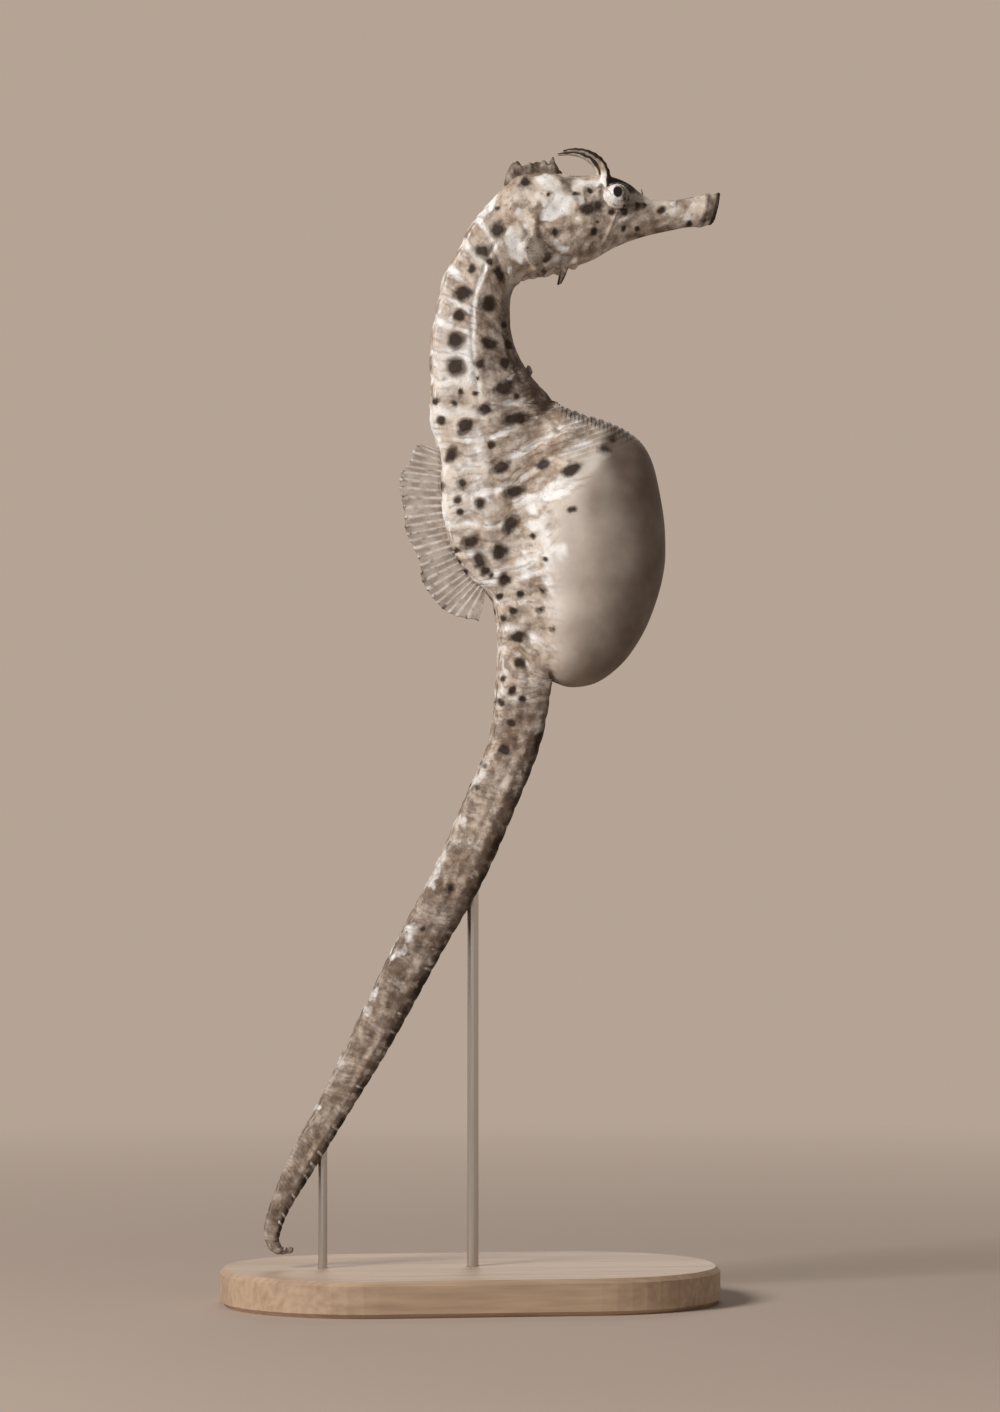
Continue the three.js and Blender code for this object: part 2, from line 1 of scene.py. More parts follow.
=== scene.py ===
import functools
import math
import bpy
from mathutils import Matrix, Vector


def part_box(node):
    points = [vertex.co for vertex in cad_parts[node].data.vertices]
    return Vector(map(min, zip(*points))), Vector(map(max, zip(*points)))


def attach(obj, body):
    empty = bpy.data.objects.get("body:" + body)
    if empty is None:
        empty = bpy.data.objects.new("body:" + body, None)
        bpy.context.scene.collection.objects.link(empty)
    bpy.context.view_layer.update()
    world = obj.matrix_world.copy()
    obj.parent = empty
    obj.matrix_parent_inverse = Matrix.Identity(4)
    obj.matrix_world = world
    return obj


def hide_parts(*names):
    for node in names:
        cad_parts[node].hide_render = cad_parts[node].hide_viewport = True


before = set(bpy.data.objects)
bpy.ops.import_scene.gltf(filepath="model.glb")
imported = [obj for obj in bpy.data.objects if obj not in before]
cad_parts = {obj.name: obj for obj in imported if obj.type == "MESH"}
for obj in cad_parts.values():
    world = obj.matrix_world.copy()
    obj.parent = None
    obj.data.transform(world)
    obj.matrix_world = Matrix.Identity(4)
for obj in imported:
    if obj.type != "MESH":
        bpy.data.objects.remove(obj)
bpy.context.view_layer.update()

import types

import bpy
import numpy as np

bl_info = {
    "name": "Big-bellied seahorse",
    "version": (1, 0, 0),
    "blender": (4, 5, 0),
    "location": "3D View > Sidebar > Seahorse",
    "description": "Skin, eyes, spines, fins and display stand of a life-size big-bellied seahorse model",
    "category": "Add Mesh",
}

# The animal faces +X, its mirror plane is y = 0 and +Z is up. Places on the body are written in millimetres
# and turned to Blender's metres by MM. Sizes that a user would change are properties, in metres.
MM = 0.001
RIGHT, LEFT = -1, 1            # the animal's right side is towards -Y


def box_mm(name):
    """The low and high corners of one of the solids."""
    low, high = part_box(name)
    return np.array(low) / MM, np.array(high) / MM


def middle_mm(name):
    """The middle of one of the solids."""
    low, high = box_mm(name)
    return (low + high) / 2


# ---------- landmarks of the body ----------
# One row for each landmark from the lips to the tip of the tail, the same as the solids have: the outline of
# the back (x, z), the outline of the belly (x, z), half the width, and the form of the cross-section.
LANDMARKS = [
    (55.4, 245.2, 53.5, 237.0, 2.9, "tube"),     # lips
    (50.6, 244.1, 49.5, 236.8, 2.7, "tube"),
    (46.2, 243.2, 46.0, 236.2, 2.6, "tube"),
    (39.9, 243.4, 38.3, 234.4, 3.2, "tube"),     # root of the snout
    (35.2, 246.4, 32.1, 231.9, 4.4, "brow"),
    (30.0, 248.2, 26.8, 228.8, 5.6, "brow"),     # eye
    (24.2, 247.8, 21.1, 226.8, 6.7, "head"),     # gill cover
    (16.7, 248.4, 16.0, 225.1, 6.9, "head"),
    (11.0, 247.9, 12.0, 224.6, 6.4, "head"),     # back of the head
    (8.1, 246.0, 10.5, 223.5, 6.0, "neck"),
    (3.7, 241.3, 9.5, 221.9, 5.6, "neck"),       # nape
    (0.4, 237.2, 9.0, 219.8, 5.5, "neck"),
    (-3.3, 230.1, 9.0, 216.5, 5.6, "neck"),
    (-5.7, 225.9, 9.3, 213.2, 5.7, "neck"),
    (-7.1, 219.6, 10.4, 209.4, 5.9, "neck"),
    (-8.4, 213.2, 12.2, 206.1, 6.1, "neck"),
    (-8.8, 207.7, 14.3, 203.1, 6.3, "neck"),
    (-8.6, 201.3, 17.6, 199.8, 6.6, "trunk"),    # breast
    (-8.8, 194.5, 20.3, 197.0, 7.0, "trunk"),    # top of the pouch
    (-7.0, 186.3, 23.6, 190.5, 7.4, "trunk"),
    (-7.0, 179.3, 24.6, 184.0, 7.6, "trunk"),
    (-6.4, 172.0, 24.4, 176.8, 7.6, "trunk"),
    (-4.4, 165.4, 23.3, 169.4, 7.5, "trunk"),
    (-1.0, 159.5, 22.0, 162.0, 7.2, "trunk"),
    (3.2, 156.4, 20.7, 156.2, 6.8, "trunk"),
    (5.3, 152.6, 19.6, 150.8, 6.4, "tail"),      # vent
    (6.0, 147.2, 18.8, 146.4, 6.0, "tail"),
    (6.1, 142.8, 18.4, 141.4, 5.7, "tail"),
    (5.5, 133.6, 17.7, 133.5, 5.3, "tail"),
    (4.0, 123.0, 15.3, 121.9, 5.0, "tail"),
    (-0.7, 112.0, 10.2, 109.1, 4.7, "tail"),
    (-8.3, 94.8, 3.0, 92.9, 4.4, "tail"),
    (-16.2, 80.0, -6.4, 76.7, 4.0, "tail"),
    (-25.7, 60.7, -17.4, 57.0, 3.5, "tail"),
    (-33.0, 45.6, -26.4, 42.5, 3.0, "tail"),
    (-38.9, 34.8, -34.5, 29.5, 2.5, "tail"),
    (-43.3, 24.8, -40.0, 20.6, 1.9, "tail"),
    (-45.5, 17.2, -42.0, 15.2, 1.5, "tip"),
    (-44.8, 12.9, -41.9, 13.6, 1.15, "tip"),
    (-42.6, 11.1, -41.2, 12.7, 0.95, "tip"),     # hook of the tail
    (-39.6, 11.3, -39.8, 12.8, 0.75, "tip"),
]
LAST = len(LANDMARKS) - 1
NAPE, VENT = 9.6, 25
TRUNK_RINGS, TAIL_RINGS = 14, 45
TRUNK_RING_GROWTH, TAIL_RING_TAPER = 1.12, 1.5
NECK_EXTRA = 1.3                # the neck's rings are shorter, which brings in this many more

# Corners of a cross-section as (depth from the back, width), as shares of its depth and half width: the
# middle of the back, the upper ridge, the flank and the lower ridge. The last number is how far the faces
# between them bulge.
SECTIONS = {
    "tube": ((0.0, 0.0), (0.13, 0.70), (0.48, 1.0), (0.86, 0.70), 0.07),
    "brow": ((0.02, 0.0), (0.04, 0.60), (0.50, 1.0), (0.88, 0.58), 0.06),
    "head": ((0.0, 0.0), (0.05, 0.52), (0.50, 1.0), (0.88, 0.58), 0.08),
    "neck": ((0.03, 0.0), (0.0, 0.60), (0.40, 1.0), (0.84, 0.62), 0.03),
    "trunk": ((0.03, 0.0), (0.0, 0.58), (0.36, 1.0), (0.80, 0.74), 0.03),
    "tail": ((0.02, 0.0), (0.03, 0.78), (0.50, 0.98), (0.97, 0.78), 0.03),
    "tip": ((-0.02, 0.0), (0.10, 0.74), (0.50, 1.0), (0.90, 0.74), 0.05),
}

# Between the breast and the crease under the pouch the skin runs round the pouch: (landmark, x, z) of its
# front.
POUCH_EDGE = [
    (17.0, 17.6, 199.8), (17.5, 19.0, 198.2), (18.0, 20.8, 196.9), (18.5, 25.6, 195.4), (19.0, 31.0, 193.6),
    (19.5, 35.0, 191.8), (20.0, 38.1, 189.4), (20.6, 40.6, 185.1), (21.3, 42.5, 177.7), (22.0, 43.6, 170.5),
    (22.6, 43.7, 163.9), (23.2, 43.0, 159.2), (24.0, 41.2, 153.3), (24.8, 38.2, 146.6), (25.5, 33.9, 140.6),
    (26.2, 28.2, 136.3), (26.8, 23.0, 135.2), (27.2, 20.2, 135.7), (27.45, 18.5, 136.7), (27.7, 17.9, 135.6),
    (28.0, 17.7, 133.5),
]
# The pouch's outline inside the trunk, from the breast down to the crease.
POUCH_ROOT = [(13.0, 184.0), (9.5, 166.0), (11.5, 150.0)]
POUCH_MIDDLE = (25.5, 166.5)
POUCH_BLUNTNESS = 0.14          # how much blunter the egg is at its top and bottom than at its sides
POUCH_FILLET = 2.4              # how far the corner between trunk and pouch is rounded

COLUMNS = 144                   # faces round the body
HALF = COLUMNS // 2
ROWS = 650                      # from the floor of the mouth to the tip of the tail
LIP_ROWS, TIP_ROWS = 16, 8
UPPER_COLUMN, FLANK_COLUMN = 9, 31   # columns that follow the upper ridge and the flank's ridge
TOP_SAMPLES, SIDE_SAMPLES = 40, 900  # places on a section's outline before and after its upper ridge
RIDGE_ROWS = 31                 # rows that the ridges are smoothed over
RING_SAG = 2.6                  # how far the rings sag beside the pouch
JOINT_LEAN = 0.058              # rings that a joint rises for each millimetre towards the breast
LEAST_PITCH = 0.5               # shortest ring

# Zones along the body as the landmarks that they run between and how soft their ends are.
ZONES = {
    "temples": (4.5, 9.2, 0.6),
    "throat": (5.2, 9.4, 0.4),
    "keel of the neck": (10, 17.8, 0.6),
    "dark keel": (10.8, 18.2, 0.7),
    "neck": (10.2, 17.8, 0.6),
    "fore side of the neck": (10.2, 18.9, 0.9),
    "pale back": (14, 23, 2.0),
    "trunk's smooth underside": (16.5, 28, 0.6),
    "leaning joints": (16.8, 23.5, 1.4),
    "pouch's crest": (17.0, 21.0, 0.4),
    "swelling": (17.4, 27.5, 0.12),
    "pleats": (17.5, 19.7, 0.35),
    "trunk": (17.5, 26.5, 1.0),
    "pouch": (17.6, 27.5, 0.25),
    "sagging rings": (17.6, 22.4, 1.6),
    "blocks": (17.8, 26.2, 0.8),
    "pleated side": (18.6, 24, 1.0),
    "pale wall": (19.8, 25.5, 1.0),
    "under the pouch": (25.6, 29.0, 0.6),
}

# Sizes and tones that change along the body, as (landmark, value).
ROW_SPACING = [(0, 0.30), (9, 0.30), (12, 0.36), (26, 0.36), (29, 0.62), (36, 0.50), (LAST, 0.30)]
SOFTENING = [(0, 60), (3, 30), (5, 26), (9, 22), (10.5, 6), (17, 6), (20, 14), (26, 10), (28, 4), (40, 4)]
RING_SIZES = [(9, 0.6), (12, 1.0), (20, 1.0), (25, 0.9), (30, 0.7), (36, 0.5), (40, 0.2)]
MOTTLING = [
    (0, 0.7), (3, 0.8), (5, 0.85), (9, 0.8), (10.5, 0.5), (18, 0.45), (26, 0.7), (29, 0.9), (35, 0.7),
    (40, 0.4)
]
TAIL_TONES = [
    (26, 0.3), (29, 0.42), (30.5, 0.32), (31.2, 0.55), (32.6, 0.7), (33.2, 0.42), (35, 0.8), (40, 0.97)
]
KEEL_SHARES = ((0.76, 0.70, 0.62), (0.9, 0.82, 0.74))   # where the neck's dark keel starts and is full
PLEATS_A_LANDMARK = 5.6

# The pouch's smooth skin begins at x for each height z, and its darkening, dark pigment with painted shade on
# the side away from the key light, falls at x over a softness.
POUCH_BORDER = [(134, 17), (140, 17.5), (150, 17.5), (160, 17), (175, 18), (186, 24), (192, 29), (197, 31)]
POUCH_SHADE = [
    (134, 22, 12), (139, 24, 16), (145, 27, 19), (155, 28.6, 24), (163, 29.4, 26), (170, 29.6, 25),
    (178, 29.6, 15), (183, 28.8, 6), (187, 28.4, 2.6), (192, 28, 2), (196, 28, 2)
]

# The roll of the lips as (share of the section, distance ahead of their edge), from the mouth's floor out.
LIP_ROLL = [
    (0.10, -2.6), (0.30, -2.5), (0.42, -2.2), (0.48, -1.7), (0.52, -1.1), (0.57, -0.5), (0.62, -0.1),
    (0.68, 0.25), (0.75, 0.48), (0.82, 0.58), (0.89, 0.56), (0.94, 0.44), (0.98, 0.24), (1.0, 0.0)
]
TIP_LENGTH = 0.7                # how far the tail's rounded tip runs past its last section
# Greatest height of the skin over the middle of the eye, by distance from it.
EYE_HOLLOW = [(0.0, -1.2), (2.3, -0.6), (2.8, 0.2), (3.2, 0.9), (3.6, 1.6), (4.4, 3.0), (5.2, 9.0)]


# ---------- plain mathematics ----------
def step(low, high, value):
    """Rises smoothly from 0 at low to 1 at high."""
    share = np.clip((value - low) / (high - low), 0, 1)
    return share * share * (3 - 2 * share)


def bell(value, centre, width):
    """1 at the centre, falling off smoothly over about the width."""
    return np.exp(-((value - centre) / width) ** 2)


def within(low, high, value, soft):
    """1 between low and high, with soft ends."""
    return step(low - soft, low + soft, value) * (1 - step(high - soft, high + soft, value))


def zone(name, mark):
    """1 inside one of the body's zones, with soft ends."""
    low, high, soft = ZONES[name]
    return within(low, high, mark, soft)


def most(*fields):
    """The largest of several fields at each point."""
    return functools.reduce(np.maximum, fields)


def axes(points):
    """The x, y and z of a grid of points."""
    return points[..., 0], points[..., 1], points[..., 2]


def unit(vector):
    """A vector drawn out or in to a length of 1, or each of a row of vectors."""
    vector = np.asarray(vector, float)
    return vector / np.linalg.norm(vector, axis=-1, keepdims=True)


def run_along(points):
    """How far each point of a line lies along it from the first."""
    return np.concatenate([[0], np.cumsum(np.linalg.norm(np.diff(points, axis=0), axis=1))])


def through(keys, values, at):
    """A smooth curve through the values given at the keys."""
    keys, values = np.asarray(keys, float), np.asarray(values, float)
    upright = (-1,) + (1,) * (values.ndim - 1)
    gap = np.diff(keys).reshape(upright)
    rise = np.diff(values, axis=0) / gap
    slope = np.concatenate([rise[:1], (rise[1:] + rise[:-1]) / 2, rise[-1:]])
    before = np.clip(np.searchsorted(keys, at, side="right") - 1, 0, len(keys) - 2)
    width = gap[before]
    share = (at - keys[before]).reshape(upright) / width
    ease = share * share * (3 - 2 * share)
    start = share * (1 - share) ** 2 * width * slope[before]
    end = share * share * (share - 1) * width * slope[before + 1]
    return values[before] * (1 - ease) + values[before + 1] * ease + start + end


def smooth_max(one, other, soft):
    """The larger of two values, with the corner between them rounded over soft."""
    soft = np.maximum(soft * np.clip(np.minimum(one, other), 0, 1), 1e-6)
    return np.maximum(one, other) + np.maximum(soft - np.abs(one - other), 0) ** 2 / (4 * soft)


def ripple(x, y, z, size, seed):
    """A smooth irregular field from -1 to 1, with lumps about size millimetres across."""
    total = np.zeros(np.broadcast(x, y, z).shape)
    turns = np.random.default_rng(seed)
    waves = 9
    for _ in range(waves):
        direction = turns.normal(size=3)
        direction *= 2 * math.pi / (size * turns.uniform(1.4, 3.0)) / np.linalg.norm(direction)
        start = turns.uniform(0, 2 * math.pi)
        total += np.sin(direction[0] * x + direction[1] * y + direction[2] * z + start)
    return total / math.sqrt(waves)


# ---------- the body's surface ----------
MARKS = np.arange(LAST + 1)
BACK_LINE = np.array([row[0:2] for row in LANDMARKS])
BELLY_LINE = np.array([row[2:4] for row in LANDMARKS])
HALF_WIDTHS = np.array([row[4] for row in LANDMARKS])
CORNERS = np.array([[*(value for corner in SECTIONS[row[5]][:4] for value in corner), SECTIONS[row[5]][4]]
                    for row in LANDMARKS])
FINE_MARKS = np.linspace(0, LAST, 4001)   # close enough to measure lengths by


def back_at(mark):
    """The outline of the back in the side view, as x and z."""
    return through(MARKS, BACK_LINE, mark)


def belly_at(mark):
    """The outline of the belly in the side view, without the pouch."""
    return through(MARKS, BELLY_LINE, mark)


def front_at(mark):
    """The belly's outline, or the pouch's where there is one."""
    edge = np.array(POUCH_EDGE)
    round_pouch = through(edge[:, 0], edge[:, 1:], np.clip(mark, edge[0, 0], edge[-1, 0]))
    on_pouch = ((mark >= edge[0, 0]) & (mark <= edge[-1, 0]))[:, None]
    return np.where(on_pouch, round_pouch, belly_at(mark))


def length_along(mark):
    """Distance from the lips along the middle of the body."""
    return np.interp(mark, FINE_MARKS, run_along((back_at(FINE_MARKS) + belly_at(FINE_MARKS)) / 2))


def ring_at(mark):
    """Number of the bony ring, counted from the nape, whole at each joint."""
    nape, vent, end = length_along(np.array([NAPE, VENT, LAST]))
    place = length_along(mark)
    trunk = np.clip((place - nape) / (vent - nape), 0, 1) ** (1 / TRUNK_RING_GROWTH) * TRUNK_RINGS
    trunk += NECK_EXTRA * step(0, 9, trunk)
    tail = (1 - (1 - np.clip((place - vent) / (end - vent), 0, 1)) ** (1 / TAIL_RING_TAPER)) * TAIL_RINGS
    return trunk + tail


def row_marks():
    """The landmark number of each row of the skin, with the rows closest where the head and the trunk are."""
    spacing = np.interp(FINE_MARKS, *zip(*ROW_SPACING))
    count = np.concatenate([[0], np.cumsum(np.diff(length_along(FINE_MARKS)) / spacing[1:])])
    rows = ROWS - LIP_ROWS - TIP_ROWS
    inner = np.interp(np.linspace(0, count[-1], rows), count, FINE_MARKS)
    return np.concatenate([np.zeros(LIP_ROWS), inner, np.full(TIP_ROWS, float(LAST))])


def pouch_half_width(x, z, widest):
    """Half the pouch's width at a point of the side view: a full egg, blunter at its top and bottom."""
    fine = np.linspace(POUCH_EDGE[1][0], POUCH_EDGE[-3][0], 160)
    edge = np.concatenate([front_at(fine), np.array(POUCH_ROOT)]) - POUCH_MIDDLE
    bearing = np.arctan2(edge[:, 1], edge[:, 0])
    order = np.argsort(bearing)
    bearing, reach = bearing[order], np.hypot(edge[:, 0], edge[:, 1])[order]
    bearing = np.concatenate([bearing - 2 * math.pi, bearing, bearing + 2 * math.pi])
    dx, dz = x - POUCH_MIDDLE[0], z - POUCH_MIDDLE[1]
    limit = np.interp(np.arctan2(dz, dx), bearing, np.tile(reach, 3))
    out = np.clip(np.hypot(dx, dz) / limit, 0, 1)
    upright = dz ** 2 / (dx ** 2 + dz ** 2 + 1e-9)
    return widest * (1 - out ** 2) ** (0.5 - POUCH_BLUNTNESS * upright)


def section_curves(marks, widest_pouch):
    """For each row, half of its closed outline from the back to the front as (x, y, z), very finely sampled,
    the depth of each of those points, and the depths of the three ridges."""
    corners = np.array([np.interp(marks, MARKS, column) for column in CORNERS.T])[:, :, None]
    back_depth, _, upper_depth, upper_width, flank_depth, flank_width = corners[:6]
    lower_depth, lower_width, crown = corners[6:]
    half = through(MARKS, HALF_WIDTHS, marks)[:, None]
    back, front, belly = back_at(marks), front_at(marks), belly_at(marks)
    spoke = front - back
    reach = np.linalg.norm(spoke, axis=1)[:, None]
    along = spoke / reach
    depth = np.minimum(np.linalg.norm(belly - back, axis=1)[:, None], reach)
    # From the middle of the back to the upper ridge.
    over = np.linspace(0, 1, TOP_SAMPLES, endpoint=False)[None, :]
    top_depth = (back_depth * (1 - over) + upper_depth * over - 2 * over * (1 - over) * crown) * depth
    top_width = upper_width * over * half
    # From the upper ridge over the flank to the front: half the width as a function of depth.
    turn = np.linspace(0, math.pi, SIDE_SAMPLES)[None, :]
    start = upper_depth * depth
    down = start + (reach - start) * (1 - np.cos(turn)) / 2
    share = np.clip(down / depth, upper_depth, None)
    width = np.zeros_like(down)
    ends = [(upper_depth, upper_width), (flank_depth, flank_width), (lower_depth, lower_width), (1, 0)]
    for (d0, w0), (d1, w1) in zip(ends[:-1], ends[1:]):
        part = np.clip((share - d0) / (d1 - d0), 0, 1)
        inside = (share >= d0) & (share <= d1)
        width = np.where(inside, w0 + (w1 - w0) * part + 4 * part * (1 - part) * crown * w0, width)
    width *= half
    # The rings sag below the straight line where they run out over the side of the pouch.
    fall = RING_SAG * zone("sagging rings", marks)[:, None] * 4 * (down / reach) * (1 - down / reach)
    x = back[:, 0:1] + along[:, 0:1] * down
    z = back[:, 1:2] + along[:, 1:2] * down - fall
    on_pouch = zone("swelling", marks)[:, None]
    width = smooth_max(width, pouch_half_width(x, z, widest_pouch) * on_pouch, POUCH_FILLET)
    width[:, -1] = 0
    x_all = np.concatenate([back[:, 0:1] + along[:, 0:1] * top_depth, x], axis=1)
    z_all = np.concatenate([back[:, 1:2] + along[:, 1:2] * top_depth, z], axis=1)
    y_all = np.concatenate([top_width, width], axis=1)
    depths = np.concatenate([top_depth, down], axis=1)
    ridge_depths = np.concatenate([upper_depth, flank_depth, lower_depth], axis=1) * depth
    return np.stack([x_all, y_all, z_all], axis=2), depths, ridge_depths


class Surface:
    """The skin as a grid of points: one row for each section, one column for each place round the body."""

    def __init__(self, widest_pouch):
        self.mark = row_marks()
        fine, depths, ridge_depths = section_curves(self.mark, widest_pouch)
        hops = np.linalg.norm(np.diff(fine, axis=1), axis=2)
        run = np.concatenate([np.zeros((ROWS, 1)), np.cumsum(hops, axis=1)], axis=1)
        self.girth = run[:, -1]
        self.place_ridges(ridge_depths, depths[:, TOP_SAMPLES:], run[:, TOP_SAMPLES:])
        half_grid = np.zeros((ROWS, HALF + 1, 3))
        self.run = np.zeros((ROWS, COLUMNS))
        for row in range(ROWS):
            stops = [0, self.ridges[row, 0], self.ridges[row, 1], run[row, -1]]
            places = np.interp(np.arange(HALF + 1), [0, UPPER_COLUMN, FLANK_COLUMN, HALF], stops)
            for axis in range(3):
                half_grid[row, :, axis] = np.interp(places, run[row], fine[row, :, axis])
            self.run[row, :HALF + 1] = places
            self.run[row, HALF:] = places[::-1][:HALF]
        half_grid[:, [0, HALF], 1] = 0
        right = half_grid * np.array([1, RIGHT, 1])
        left = half_grid[:, HALF - 1:0:-1] * np.array([1, LEFT, 1])
        self.points = np.concatenate([right, left], axis=1)
        self.side = np.where(np.arange(COLUMNS) <= HALF, RIGHT, LEFT)[None, :]
        ring = ring_at(self.mark)
        pitch = np.gradient(length_along(self.mark)) / np.maximum(np.gradient(ring), 1e-4)
        self.pitch = np.maximum(pitch, LEAST_PITCH)[:, None]
        self.soften()
        self.close_ends()
        # Before the flank's ridge the joints lean up towards the breast.
        x, y, z = axes(self.points)
        lean = JOINT_LEAN * zone("leaning joints", self.mark)[:, None]
        before = np.clip(x - x[:, FLANK_COLUMN:FLANK_COLUMN + 1], 0, 18)
        self.ring = ring[:, None] + lean * before + 0.07 * ripple(x, y, z, 5.0, 51)

    def place_ridges(self, ridge_depths, depths, run):
        """Finds how far round the body the three ridges lie, and smooths that along the body."""
        found = [np.interp(*row) for row in zip(ridge_depths, depths, run)]
        kernel = np.hanning(RIDGE_ROWS) / np.hanning(RIDGE_ROWS).sum()
        padded = np.pad(found, ((RIDGE_ROWS // 2, RIDGE_ROWS // 2), (0, 0)), mode="edge")
        self.ridges = np.array([np.convolve(column, kernel, mode="valid") for column in padded.T]).T

    def soften(self):
        """Rounds the corners of the sections: a little on the rings, more on the head and the pouch."""
        wanted = np.interp(self.mark, *zip(*SOFTENING))
        for count in range(int(wanted.max())):
            near = (np.roll(self.points, 1, axis=1) + np.roll(self.points, -1, axis=1)) / 2
            weight = 0.5 * np.clip(wanted - count, 0, 1)[:, None, None]
            self.points += (near - self.points) * weight

    def close_ends(self):
        """Rolls the lips in to the mouth, and rounds off the tip of the tail."""
        lips = self.points[LIP_ROWS]
        centre = lips.mean(axis=0)
        forward = unit(centre - self.points[LIP_ROWS + 6].mean(axis=0))
        places = np.linspace(0, len(LIP_ROLL) - 1, LIP_ROWS, endpoint=False)
        shares, ahead = (np.interp(places, range(len(LIP_ROLL)), column) for column in zip(*LIP_ROLL))
        for row in range(LIP_ROWS):
            spread = (lips - centre) * shares[row]
            spread[:, 1] *= 0.5 + 0.5 * step(0.5, 0.9, shares[row])
            self.points[row] = centre + spread + forward * ahead[row]
        tip = self.points[ROWS - TIP_ROWS - 1]
        centre = tip.mean(axis=0)
        away = unit(centre - self.points[ROWS - TIP_ROWS - 6].mean(axis=0))
        for row in range(TIP_ROWS):
            angle = (row + 1) / (TIP_ROWS + 0.5) * math.pi / 2
            spread = (tip - centre) * math.cos(angle)
            self.points[ROWS - TIP_ROWS + row] = centre + spread + away * TIP_LENGTH * math.sin(angle)
        self.points[[0, -1]] = self.points[[0, -1]].mean(axis=1, keepdims=True)

    def normals(self):
        """The way the skin faces at each point, with a length of 1."""
        down = np.gradient(self.points, axis=0)
        across = (np.roll(self.points, -1, axis=1) - np.roll(self.points, 1, axis=1)) / 2
        normal = np.cross(across, down)
        size = np.linalg.norm(normal, axis=2, keepdims=True)
        return normal / np.maximum(size, 1e-9)

    def raise_by(self, height):
        """Moves the surface out by a height in millimetres at each point."""
        self.points += self.normals() * height[:, :, None]


# ---------- relief ----------
def share_round(surface):
    """How far round the body each point lies: 0 at the middle of the back, 1 at the middle of the front."""
    return surface.run / surface.girth[:, None]


def ridge_field(surface, which, width):
    """1 along one of the ridges: 0 is the upper one, 1 the flank's and 2 the lower one."""
    return bell(surface.run, surface.ridges[:, which:which + 1], width)


def off_joint(surface):
    """How far a point is from the nearest joint between two rings: 0 on it and 0.5 midway."""
    return np.abs(surface.ring - np.round(surface.ring))


def round_eye(x, z):
    """Distance of a place in the side view from the middle of the eye, and its bearing in degrees."""
    eye = middle_mm("eye_right")
    return np.hypot(x - eye[0], z - eye[2]), np.degrees(np.arctan2(z - eye[2], x - eye[0]))


def ring_relief(surface, joint_height, ridge_height):
    """Raised joints between the bony rings, with a blunt knob where each joint crosses a ridge."""
    mark, pitch = surface.mark[:, None], surface.pitch
    from_joint = off_joint(surface) * pitch
    size = step(9.2, 10.6, mark) * np.interp(mark, *zip(*RING_SIZES))
    joint = bell(from_joint, 0, 0.16 * pitch)
    knob = bell(from_joint, 0, 0.22 * pitch)
    ridges = ridge_field(surface, 0, 0.8) + ridge_field(surface, 1, 0.8)
    lower = ridge_field(surface, 2, 0.8) * (1 - zone("trunk's smooth underside", mark))
    keel = step(0.78, 0.9, share_round(surface)) * zone("keel of the neck", mark)
    height = joint * joint_height * size * (1 - pouch_mask(surface)) * (1 - 0.8 * keel)
    return height + (ridges + lower) * ridge_height * size * (0.55 + 0.9 * knob)


def pouch_mask(surface):
    """1 on the smooth, swollen part of the pouch."""
    x, _, z = axes(surface.points)
    inner = np.interp(z, *zip(*POUCH_BORDER))
    return step(-3.5, 3.0, x - inner) * zone("pouch", surface.mark)[:, None]


def crest_line(x):
    """Height of the outline over the top of the pouch."""
    edge = np.array(POUCH_EDGE[:9])
    return np.interp(x, edge[:, 1], edge[:, 2])


def pleats(surface):
    """Where the pleats at the top of the pouch lie, and their wave from -1 to 1."""
    mark, share = surface.mark[:, None], share_round(surface)
    where = zone("pleats", mark) * step(0.46, 0.66, share)
    return where, np.sin(2 * math.pi * PLEATS_A_LANDMARK * (mark - 17.3) + 1.4 * share)


def pleat_relief(surface, height):
    """Fine folds that crowd together over the top of the pouch."""
    mark = surface.mark[:, None]
    where, wave = pleats(surface)
    side = zone("pleated side", mark) * within(0.30, 0.42, share_round(surface), 0.06)
    return height * (where * wave + 0.35 * side * np.sin(2 * math.pi * 3.1 * mark))


